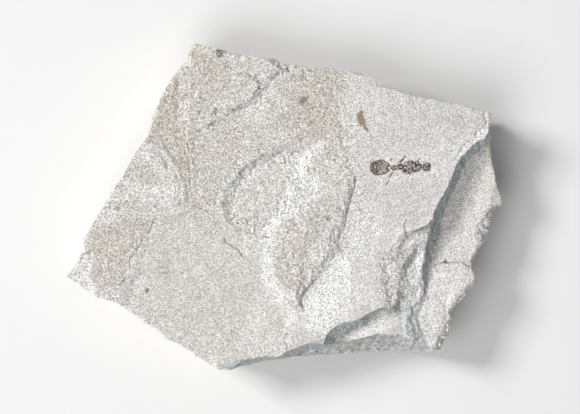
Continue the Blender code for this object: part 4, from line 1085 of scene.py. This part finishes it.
def slab_underside(outline, foot, step):
    """The dimpled underside inside the lowest ring, with its points loosely under the outline."""
    grid = grid_points(outline.min(axis=0), outline.max(axis=0), 4.0 * step, SEED + 3)
    grid = grid[inside_distance(grid, foot) > 2.0 * step]
    flat, faces, border = sheet(foot, grid)
    rise = ease(inside_distance(flat, foot) / DIMPLE_BORDER)
    dimples = DIMPLE_HEIGHT * rise * (1.0 + ripple(flat, "dimples"))
    return np.column_stack((flat, dimples)), faces, border


def make_slab(settings):
    """The slab as one finely broken closed mesh, with its colours kept as attributes."""
    step = settings.surface_step / MM
    outline = broken_outline(1.35 * step)
    flat, faces, border = sheet(outline, slab_points(outline, step, settings.broken_step / MM))
    heights, broken, crack_dust_and_shade_mask, fresh, streaks = surface_height(flat, settings.grain_height / MM)
    rim = inside_distance(flat, SLAB_OUTLINE)
    places = np.column_stack((flat, heights))
    places = places + (break_faces(places) - places) * steepness(flat, rim)[:, None]
    rings = side_rings(outline, heights[border], settings.side_levels)
    underside = slab_underside(outline, rings[-1][:, :2], step)
    piece = closed_solid("limestone_slab", places, faces, border, rings, underside)

    spots = flat_places(piece)
    upper = np.arange(len(spots)) < len(flat)
    for tint in ("tan", "pale", "grey", "salty"):
        paint(piece, tint, patch_values(spots, tint) * upper)
    paint(piece, "stain", stain_values(spots) * upper)
    paint(piece, "fleck", fleck_values(spots) * upper)
    sides = np.zeros(len(spots) - len(flat))
    # The slate grey and painted shade of the patches joins that of the breaks.
    fresh = np.maximum(fresh, patch_values(flat, "fresh"))
    edge = 1.0 - ease((rim - 0.15) / 0.5)
    # Among these, the cracks carry dust and painted shade, and the break faces slate grey with
    # painted shade.
    for name, values, on_sides in (("rim", edge, SIDE_RIM), ("broken", broken, 1.0),
                                   ("crack_dust_and_shade", crack_dust_and_shade_mask, 0.0), ("fresh", fresh, SIDE_FRESH_AND_SHADE),
                                   ("streak", streaks, 0.0)):
        paint(piece, name, np.concatenate((values, sides + on_sides)))
    return piece


# --- The ant ---

def seam_gap(points, seam):
    """Each point's distance to a ring-shaped seam."""
    x, y, radius = seam
    return np.abs(np.hypot(points[:, 0] - x, points[:, 1] - y) - radius)


def crown(distance, half):
    """A rounded rise from 0 at an edge to 1 at so far inside it."""
    return np.sqrt(1.0 - (1.0 - np.clip(distance / half, 0.0, 1.0)) ** 2)


def plate_height(points, plate):
    """The height of a plate's upper face: a low crown, creased at its seams and along its edge."""
    distance = inside_distance(points, plate["line"])
    height = plate["crown"] * crown(distance, plate["half"])
    for seam in plate["seams"]:
        crease = ease(1.0 - seam_gap(points, seam) / SEAM_WIDTH)
        height = height - SEAM_DEPTH * crease * ease(distance / CREASE_BORDER)
    height = height + FILM_RELIEF * ripple(points, "film")
    height = height + FINE_FILM_RELIEF * ripple(points, "fine film")
    return np.maximum(FILM_BASE + FILM_THICKNESS + height, FILM_BASE + LEAST_THICKNESS)


def plate_ink(points, plate):
    """How dark the film is: darkest at its edge, in its seams and at the black spots."""
    distance = inside_distance(points, plate["line"])
    ends = [x for x, y in plate["line"]]
    along = (points[:, 0] - min(ends)) / (max(ends) - min(ends))
    ink = plate["shade"][0] + (plate["shade"][1] - plate["shade"][0]) * ease(along)
    ink = ink + EDGE_INK * ease(1.0 - distance / EDGE_INK_WIDTH)
    for seam in plate["seams"]:
        dark = SEAM_INK * ease(1.0 - seam_gap(points, seam) / SEAM_INK_WIDTH)
        ink = ink + dark * (0.75 + 0.5 * ripple(points, "seams"))
    wrinkles = ease(1.0 - np.abs(ripple(points, "wrinkles")) / WRINKLE_WIDTH)
    ink = ink + WRINKLE_INK * wrinkles - INK_SHIFT + UNEVEN_INK * ripple(points, "ink")
    for x, y, radius in plate["spots"]:
        gap = np.hypot(points[:, 0] - x, points[:, 1] - y)
        ink = ink + SPOT_INK * ease(SPOT_SOFTNESS - gap / radius)
    return np.clip(MIDDLE_INK + INK_CONTRAST * (ink - 0.5), 0.0, 1.0)


def leg_outline(path):
    """The outline of a tapering strip along a leg's middle line."""
    left = []
    right = []
    for index, (x, y, width) in enumerate(path):
        before = path[max(index - 1, 0)]
        after = path[min(index + 1, len(path) - 1)]
        along = Vector((after[0] - before[0], after[1] - before[1])).normalized()
        side = Vector((-along.y, along.x)) * 0.5 * width
        left.append((x + side.x, y + side.y))
        right.append((x - side.x, y - side.y))
    return left + right[::-1]


def leg_height(points, line):
    """The height of a leg's upper face."""
    rise = LEG_CROWN * crown(inside_distance(points, line), LEG_BEVEL)
    return FILM_BASE + LEG_THICKNESS + rise + LEG_RELIEF * ripple(points, "leg")


def leg_ink(points):
    """How dark a leg is at each point."""
    return np.clip(0.6 + 0.4 * ripple(points, "leg ink"), 0.0, 1.0)


def film_piece(name, line, height, ink, step):
    """A thin plate of the ant's film, closed all round."""
    outline, normals = along_line(line, step)
    outline = outline + normals * (FILM_RAGGED * ripple(outline, "film edge"))[:, None]
    grid = grid_points(outline.min(axis=0), outline.max(axis=0), step, SEED + 5)
    grid = grid[inside_distance(grid, outline) > 0.6 * step]
    flat, faces, border = sheet(outline, grid)
    foot = np.column_stack((outline, np.full(len(outline), FILM_BASE)))
    piece = closed_solid(name, np.column_stack((flat, height(flat))), faces, border, [foot])
    places = flat_places(piece)
    paint(piece, "ink", ink(places))
    paint(piece, "plum", ease((places[:, 0] - PLUM_FROM) / PLUM_BLEND))
    return piece


# --- Materials ---

# A mix node's sockets for colours, which share their names with those for other kinds of value.
MIX_FACTOR, MIX_FIRST, MIX_SECOND, MIX_RESULT = 0, 6, 7, 2

# What the stone's tone is made of: smooth noise, clumps and single grains.
TONE_SHARES = (0.12, 0.04, 0.84)

# Scattered marks: how much finer than the grain their pattern is, the share of its cells that have
# one, and their radius as a share of a cell.
SMALL_SPECKS = (2.0, 0.13, 0.65)
LARGE_SPECKS = (1.2, 0.03, 0.45)
DARK_PITS = (1.9, 0.14, 0.65)
SPECK_RISE = 0.35
PIT_SINK = 0.5

# The stone's tints in the order in which they are laid on: how far the clumps break up the border
# of each, and its strength.
# The slate grey tint is partly painted shade; a few tan and pale patches are painted shade and
# light.
TINTS = (("tan", 1.3, 1.0), ("pale", 0.8, 1.0), ("grey", 0.8, 0.6), ("fresh", 0.7, 1.0))
RIM_STRENGTH = 0.55
# How strongly cracks are painted dark with dust and painted shade.
CRACK_DUST_AND_SHADE_STRENGTH = 0.7
STREAK_STRENGTH = 0.18

# How strong the grain's tone, pits and specks are in calm stone, and how much more in coarse stone.
TONE_STRENGTH = (1.0, 0.35)
PIT_STRENGTH = (0.4, 0.22)
SPECK_STRENGTH = (0.6, 0.2)

# Patterns of the stone's colour, in features to a metre.
CLUMP_SCALE = 1000.0
CLOUD_SCALE = 95.0
HUE_SCALE = 2400.0
COOL_GREY = (0.985, 1.0, 1.015)
WARM_GREY = (1.015, 1.0, 0.982)


def srgb(red, green, blue):
    """A colour picked as 0 to 255 values, as the linear values that shaders take."""
    shares = [value / 255.0 for value in (red, green, blue)]
    return tuple(share / 12.92 if share <= 0.04045 else ((share + 0.055) / 1.055) ** 2.4
                 for share in shares)


class Nodes:
    """Adds nodes to a material or a group and joins them."""

    def __init__(self, tree):
        self.tree = tree
        self.count = 0

    def new(self, kind):
        """Add a node at the next place of a grid."""
        node = self.tree.nodes.new(kind)
        node.location = (220 * (self.count % 8), -260 * (self.count // 8))
        self.count += 1
        return node

    def feed(self, socket, value):
        """Join another node's socket to this one, or set its value."""
        if isinstance(value, bpy.types.NodeSocket):
            self.tree.links.new(value, socket)
        else:
            socket.default_value = value

    def add(self, kind, *inputs, **named):
        """Add a node; its inputs are given in order or by name."""
        node = self.new(kind)
        for key, value in [*enumerate(inputs), *named.items()]:
            self.feed(node.inputs[key], value)
        return node

    def math(self, operation, first, second=0.0, clamp=False):
        """Work out one value from two."""
        node = self.add("ShaderNodeMath", first, second)
        node.operation = operation
        node.use_clamp = clamp
        return node.outputs[0]

    def plus(self, first, second, clamp=False):
        """The sum of two values."""
        return self.math("ADD", first, second, clamp)

    def times(self, first, second, clamp=False):
        """The product of two values."""
        return self.math("MULTIPLY", first, second, clamp)

    def spread(self, value, width):
        """A value between 0 and 1, moved to about 0 and stretched to a width."""
        return self.times(self.math("SUBTRACT", value, 0.5), width)

    def noise(self, vector, scale, detail=2.0, rough=0.5):
        """Smooth noise between 0 and 1."""
        node = self.add("ShaderNodeTexNoise", Vector=vector, Scale=scale, Detail=detail,
                        Roughness=rough)
        return node.outputs["Fac"]

    def stretch(self, value, low, high, to_low=0.0, to_high=1.0):
        """Map a range of values onto another, and stop at its ends."""
        return self.add("ShaderNodeMapRange", value, low, high, to_low, to_high).outputs[0]

    def mix(self, factor, first, second, blend="MIX"):
        """Blend two colours."""
        node = self.new("ShaderNodeMix")
        node.data_type = "RGBA"
        node.blend_type = blend
        self.feed(node.inputs[MIX_FACTOR], factor)
        for key, color in ((MIX_FIRST, first), (MIX_SECOND, second)):
            plain = not isinstance(color, bpy.types.NodeSocket)
            self.feed(node.inputs[key], (*color, 1.0) if plain else color)
        return node.outputs[MIX_RESULT]

    def shade(self, color, share):
        """Darken or lighten a colour."""
        grey = self.add("ShaderNodeCombineColor", share, share, share).outputs[0]
        return self.mix(1.0, color, grey, "MULTIPLY")

    def attribute(self, name):
        """A value that the piece keeps for each vertex."""
        node = self.new("ShaderNodeAttribute")
        node.attribute_name = name
        return node.outputs["Fac"]


def scattered(nodes, vector, scale, finer, share, radius):
    """Small round marks in a random share of the cells of a pattern."""
    cells = nodes.add("ShaderNodeTexVoronoi", Vector=vector, Scale=nodes.times(scale, finer))
    chance = nodes.add("ShaderNodeSeparateColor", cells.outputs["Color"]).outputs[0]
    chosen = nodes.stretch(chance, 1.0 - share - 0.02, 1.0 - share + 0.02)
    marks = nodes.stretch(cells.outputs["Distance"], 0.6 * radius, radius, 1.0, 0.0)
    return nodes.times(chosen, marks)


def grain_group():
    """A node group for fine grain: its tone, white specks, dark pits and bump height."""
    group = bpy.data.node_groups.new("Stone Grain", "ShaderNodeTree")
    group.interface.new_socket("Vector", in_out="INPUT", socket_type="NodeSocketVector")
    size = group.interface.new_socket("Scale", in_out="INPUT", socket_type="NodeSocketFloat")
    size.default_value = 2000.0
    for name in ("Tone", "Specks", "Pits", "Height"):
        group.interface.new_socket(name, in_out="OUTPUT", socket_type="NodeSocketFloat")
    nodes = Nodes(group)
    vector, scale = nodes.add("NodeGroupInput").outputs[:2]
    fine = nodes.noise(vector, nodes.times(scale, 1.5), 1.0, 0.5)
    clumps = nodes.noise(vector, nodes.times(scale, 0.6), 2.0, 0.55)
    cells = nodes.add("ShaderNodeTexVoronoi", Vector=vector, Scale=nodes.times(scale, 2.0))
    grains = nodes.add("ShaderNodeSeparateColor", cells.outputs["Color"]).outputs[0]
    fine, clumps, grains = (nodes.times(part, share)
                            for part, share in zip((fine, clumps, grains), TONE_SHARES))
    tone = nodes.plus(nodes.plus(fine, clumps), grains)
    specks = nodes.math("MAXIMUM", scattered(nodes, vector, scale, *SMALL_SPECKS),
                        scattered(nodes, vector, scale, *LARGE_SPECKS))
    pits = scattered(nodes, vector, scale, *DARK_PITS)
    raised = nodes.math("SUBTRACT", nodes.times(specks, SPECK_RISE), nodes.times(pits, PIT_SINK))
    nodes.add("NodeGroupOutput", tone, specks, pits, nodes.plus(tone, raised))
    return group


def new_material(name):
    """A material with its nodes and its shader."""
    material = bpy.data.materials.new(name)
    material.use_nodes = True
    return material, Nodes(material.node_tree), material.node_tree.nodes["Principled BSDF"]


def add_grain(nodes, group, scale):
    """Place the grain group in a material, on the piece's own coordinates."""
    place = nodes.add("ShaderNodeTexCoord").outputs["Object"]
    node = nodes.new("ShaderNodeGroup")
    node.node_tree = group
    nodes.feed(node.inputs["Vector"], place)
    nodes.feed(node.inputs["Scale"], scale)
    return place, node.outputs


def add_bump(nodes, shader, height, depth):
    """Raise and lower a surface by a pattern."""
    bump = nodes.add("ShaderNodeBump", Height=height, Strength=1.0, Distance=depth)
    nodes.feed(shader.inputs["Normal"], bump.outputs["Normal"])


def limestone_material(settings, group):
    """Pale grey stone with tan weathered patches, paler breaks, brown flecks and a fine grain,
    with painted shade in its cracks and some tints, and painted light in some pale patches.
    """
    material, nodes, shader = new_material("Limestone")
    place, grain = add_grain(nodes, group, settings.grain_scale)
    patchy = nodes.noise(place, CLUMP_SCALE, 3.0, 0.5)
    clouds = nodes.noise(place, CLOUD_SCALE, 3.0, 0.5)
    hue = nodes.noise(place, HUE_SCALE, 1.0)
    tone = grain["Tone"]

    def blotched(name, width):
        """An attribute whose border is broken up by the stone's clumps."""
        value = nodes.attribute(name)
        moved = nodes.times(nodes.spread(patchy, width), nodes.stretch(value, 0.0, 0.3))
        return nodes.plus(nodes.plus(value, moved), 0.0, clamp=True)

    def stronger(calm, more):
        """A strength that grows where the stone is coarse."""
        return nodes.plus(nodes.times(coarse, more), calm)

    salty = nodes.attribute("salty")
    coarse = nodes.math("MAXIMUM", salty, nodes.attribute("broken"))
    color = nodes.mix(nodes.stretch(clouds, 0.35, 0.65), settings.stone_color, settings.stone_shade)
    for name, width, strength in TINTS:
        tint = nodes.times(blotched(name, width), strength)
        color = nodes.mix(tint, color, getattr(settings, name + "_color"))
    rim = nodes.times(nodes.attribute("rim"), RIM_STRENGTH)
    color = nodes.mix(rim, color, settings.rim_color)
    hue = nodes.mix(nodes.stretch(hue, 0.38, 0.62), COOL_GREY, WARM_GREY)
    color = nodes.mix(1.0, color, hue, "MULTIPLY")
    color = nodes.shade(color, nodes.stretch(salty, 0.0, 1.0, 1.0, 1.04))
    grains = nodes.spread(tone, stronger(*TONE_STRENGTH))
    streaks = nodes.times(nodes.attribute("streak"), STREAK_STRENGTH)
    for change in (grains, streaks):
        color = nodes.shade(color, nodes.plus(change, 1.0))
    dark = nodes.times(grain["Pits"], stronger(*PIT_STRENGTH))
    color = nodes.shade(color, nodes.math("SUBTRACT", 1.0, dark))
    bright = nodes.times(grain["Specks"], stronger(*SPECK_STRENGTH))
    color = nodes.mix(bright, color, settings.speck_color)
    # Dust and painted shade in the cracks.
    crack_dust_and_shade = nodes.times(nodes.attribute("crack_dust_and_shade"), CRACK_DUST_AND_SHADE_STRENGTH)
    color = nodes.mix(crack_dust_and_shade, color, settings.crack_dust_and_shade_color)
    fleck = nodes.times(nodes.attribute("fleck"), nodes.stretch(tone, 0.35, 0.6, 1.0, 0.8))
    color = nodes.mix(fleck, color, settings.fleck_color)
    uneven_spot = nodes.stretch(tone, 0.35, 0.62, 1.1, 0.5)
    stain = nodes.times(nodes.attribute("stain"), uneven_spot, clamp=True)
    color = nodes.mix(stain, color, settings.spot_color)
    nodes.feed(shader.inputs["Base Color"], color)
    nodes.feed(shader.inputs["Roughness"], nodes.stretch(tone, 0.3, 0.7, 0.95, 0.82))
    shader.inputs["Specular IOR Level"].default_value = 0.3
    add_bump(nodes, shader, grain["Height"], settings.grain_relief)
    return material


def film_material(settings, group):
    """Brown carbon film over stone: light where it is thin, black in its folds."""
    material, nodes, shader = new_material("Carbon Film")
    _, grain = add_grain(nodes, group, settings.film_grain_scale)
    ink = nodes.plus(nodes.attribute("ink"), nodes.spread(grain["Tone"], 1.9), clamp=True)
    brown = nodes.mix(nodes.attribute("plum"), settings.film_brown, settings.film_plum)
    light = nodes.mix(nodes.stretch(ink, 0.0, 0.45), settings.film_light, brown)
    color = nodes.mix(nodes.stretch(ink, 0.45, 0.95), light, settings.film_dark)
    nodes.feed(shader.inputs["Base Color"], color)
    nodes.feed(shader.inputs["Roughness"], nodes.stretch(ink, 0.2, 0.9, 0.8, 0.5))
    shader.inputs["Specular IOR Level"].default_value = 0.35
    add_bump(nodes, shader, grain["Height"], settings.grain_relief)
    return material


def floor_material():
    """A plain pale floor."""
    material, _, shader = new_material("Pale Floor")
    shader.inputs["Base Color"].default_value = (0.82, 0.82, 0.82, 1.0)
    shader.inputs["Roughness"].default_value = 0.9
    return material


def shared_material(name, maker, settings):
    """A material that is made when it is first asked for, as its grain is."""
    group = bpy.data.node_groups.get("Stone Grain") or grain_group()
    return bpy.data.materials.get(name) or maker(settings, group)


# --- The stage ---

FLOOR_SIZE = 1.6
FLOOR_LEVEL = -0.0002

# Square soft lights: each one's name, place, size, power and colour.
LIGHTS = (
    ("Key", (-0.80, 0.34, 0.78), 0.34, 9.6, (1.0, 0.99, 0.98)),
    ("Fill", (-0.43, -0.47, 0.95), 0.8, 7.0, (1.0, 0.995, 0.995)),
)
WORLD_COLOR = (0.95, 0.97, 1.0, 1.0)
WORLD_STRENGTH = 0.23

# The camera looks straight down. Its view is 580 by 414 points, each 0.18 mm at the slab's upper
# face, and the slab's middle lies a little to the left of the view's.
POINT_SIZE = 0.18
VIEW_WIDTH = 580 * POINT_SIZE * MM
CAMERA_SHIFT = (4.75 * POINT_SIZE * MM, -0.5 * POINT_SIZE * MM)
CAMERA_HEIGHT = 0.6
SENSOR_WIDTH = 36.0


def add_floor():
    """The plain floor under the slab."""
    bpy.ops.object.select_all(action="DESELECT")
    bpy.ops.mesh.primitive_plane_add(size=FLOOR_SIZE, location=(0.0, 0.0, FLOOR_LEVEL))
    floor = bpy.context.active_object
    floor.name = "studio_floor"
    floor.data.materials.append(floor_material())


def add_light(name, place, size, power, color):
    """A square soft light that looks at the slab."""
    bpy.ops.object.light_add(type="AREA", location=place)
    light = bpy.context.active_object
    light.name = name
    light.data.size = size
    light.data.energy = power
    light.data.color = color
    light.rotation_euler = (-Vector(place)).to_track_quat("-Z", "Y").to_euler()


def add_world():
    """A faint bluish light from all round."""
    world = bpy.data.worlds.new("Studio")
    world.use_nodes = True
    background = world.node_tree.nodes["Background"]
    background.inputs["Color"].default_value = WORLD_COLOR
    background.inputs["Strength"].default_value = WORLD_STRENGTH
    bpy.context.scene.world = world
    bpy.context.scene.view_settings.view_transform = "Standard"


def add_camera():
    """A camera straight above the slab."""
    height = CAMERA_HEIGHT + SLAB_LEVEL * MM
    bpy.ops.object.camera_add(location=(*CAMERA_SHIFT, height), rotation=(0.0, 0.0, 0.0))
    camera = bpy.context.active_object
    camera.name = "Camera"
    camera.data.sensor_width = SENSOR_WIDTH
    camera.data.lens = SENSOR_WIDTH * CAMERA_HEIGHT / VIEW_WIDTH
    camera.data.clip_start = 0.01
    camera.data.clip_end = 10.0
    bpy.context.scene.camera = camera


# --- The add-on: settings, operators and panel ---

def color_setting(name, description, *picked):
    """A colour that a user can change, with its default picked as 0 to 255 values."""
    return FloatVectorProperty(name=name, description=description, subtype="COLOR",
                               default=srgb(*picked))


class FossilSettings(bpy.types.PropertyGroup):
    """Sizes and colours of the dressed fossil."""

    surface_step: FloatProperty(
        name="Surface step", description="Distance between the points of the slab's calm faces",
        default=0.3 * MM, min=0.2 * MM, unit="LENGTH")
    broken_step: FloatProperty(
        name="Broken step", description="Distance between the points where the slab is broken",
        default=0.17 * MM, min=0.12 * MM, unit="LENGTH")
    side_levels: IntProperty(
        name="Side levels", description="Rings of points from the upper edge to the underside",
        default=20, min=4)
    film_step: FloatProperty(
        name="Film step", description="Distance between the points of the ant's plates",
        default=0.055 * MM, min=0.03 * MM, unit="LENGTH")
    grain_height: FloatProperty(
        name="Grain height", description="Height of the stone's coarser grain, modelled as shape",
        default=0.008 * MM, min=0.0, unit="LENGTH")
    grain_relief: FloatProperty(
        name="Grain relief", description="Depth of the finest grain, a bump in the material",
        default=0.04 * MM, min=0.0, unit="LENGTH")
    grain_scale: FloatProperty(
        name="Grain scale", description="How many grains of stone fit in a metre",
        default=3500.0, min=100.0)
    film_grain_scale: FloatProperty(
        name="Film grain scale", description="How many grains of film fit in a metre",
        default=5200.0, min=100.0)
    stone_color: color_setting("Stone", "Calm bedding surface", 219, 216, 213)
    stone_shade: color_setting("Stone shade", "Slightly darker clouds in it", 213, 210, 206)
    # Tan also serves as painted shade in a few strips, and pale as painted light on a few shaded
    # faces.
    tan_color: color_setting("Tan", "Weathered patches", 195, 188, 178)
    pale_color: color_setting("Pale", "Fresh breaks", 246, 244, 241)
    grey_color: color_setting("Grey", "Coarse fracture", 196, 197, 197)
    rim_color: color_setting("Rim", "Broken edge", 214, 206, 184)
    speck_color: color_setting("Specks", "White grains", 250, 249, 246)
    # Slate grey of break faces, laid on as painted shade as well as unweathered stone.
    fresh_color: color_setting(
        "Fresh", "Slate grey of faces that have not weathered", 182, 189, 191)
    # Dust in the cracks, and painted shade in them as well.
    crack_dust_and_shade_color: color_setting("Cracks", "Dust in the cracks", 112, 110, 108)
    fleck_color: color_setting("Flecks", "Brown flecks", 142, 124, 98)
    spot_color: color_setting("Spots", "Small black spots", 70, 64, 62)
    film_light: color_setting("Thin film", "Film so thin that the stone shows", 214, 203, 194)
    film_brown: color_setting("Film", "The ant's brown film", 148, 129, 118)
    film_plum: color_setting("Plum film", "The film of the mesosoma and the head", 138, 124, 123)
    film_dark: color_setting("Film folds", "Seams and black spots", 22, 16, 17)


def settings_of(context):
    """The sizes and colours that the scene keeps."""
    return context.scene.fossil_settings


def add_film(context, node, line, height, ink, step):
    """Make one plate of the ant in place of its node."""
    settings = settings_of(context)
    piece = film_piece(node + "_film", line, height, ink, step)
    piece.data.materials.append(shared_material("Carbon Film", film_material, settings))
    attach(piece, "root")
    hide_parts(node)


class FOSSIL_OT_slab(bpy.types.Operator):
    """Make the broken limestone slab"""
    bl_idname = "fossil.slab"
    bl_label = "Limestone Slab"

    def execute(self, context):
        settings = settings_of(context)
        piece = make_slab(settings)
        piece.data.materials.append(shared_material("Limestone", limestone_material, settings))
        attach(piece, "root")
        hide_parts("slab")
        return {"FINISHED"}


class FOSSIL_OT_body(bpy.types.Operator):
    """Make the four plates of the ant's body"""
    bl_idname = "fossil.body"
    bl_label = "Ant Body"

    def execute(self, context):
        step = settings_of(context).film_step / MM
        for node, plate in PLATES.items():
            add_film(context, node, plate["line"],
                     lambda points, plate=plate: plate_height(points, plate),
                     lambda points, plate=plate: plate_ink(points, plate), step)
        return {"FINISHED"}


class FOSSIL_OT_legs(bpy.types.Operator):
    """Make the fragments of the ant's legs"""
    bl_idname = "fossil.legs"
    bl_label = "Ant Legs"

    def execute(self, context):
        step = 0.6 * settings_of(context).film_step / MM
        for node, path in LEG_PATHS.items():
            line = leg_outline(path)
            add_film(context, node, line,
                     lambda points, line=line: leg_height(points, line), leg_ink, step)
        return {"FINISHED"}


class FOSSIL_OT_stage(bpy.types.Operator):
    """Set the pale floor, the soft studio light and the camera"""
    bl_idname = "fossil.stage"
    bl_label = "Stage"

    def execute(self, context):
        add_floor()
        for light in LIGHTS:
            add_light(*light)
        add_world()
        add_camera()
        return {"FINISHED"}


class FOSSIL_PT_panel(bpy.types.Panel):
    """Lists the steps that dress the fossil"""
    bl_idname = "FOSSIL_PT_panel"
    bl_label = "Fossil Ant Slab"
    bl_space_type = "VIEW_3D"
    bl_region_type = "UI"
    bl_category = "Fossil"

    def draw(self, context):
        for operator in OPERATORS:
            self.layout.operator(operator.bl_idname)
        for name in FossilSettings.__annotations__:
            self.layout.prop(settings_of(context), name)


OPERATORS = (FOSSIL_OT_slab, FOSSIL_OT_body, FOSSIL_OT_legs, FOSSIL_OT_stage)
CLASSES = (FossilSettings, *OPERATORS, FOSSIL_PT_panel)


def register():
    """Give Blender the settings, the operators and the panel."""
    for item in CLASSES:
        bpy.utils.register_class(item)
    bpy.types.Scene.fossil_settings = PointerProperty(type=FossilSettings)


def unregister():
    """Take the settings, the operators and the panel out again."""
    del bpy.types.Scene.fossil_settings
    for item in reversed(CLASSES):
        bpy.utils.unregister_class(item)


def main():
    """Give Blender the add-on, then make every piece and the stage."""
    register()
    bpy.ops.fossil.slab()
    bpy.ops.fossil.body()
    bpy.ops.fossil.legs()
    bpy.ops.fossil.stage()


if __name__ == "__main__":
    main()
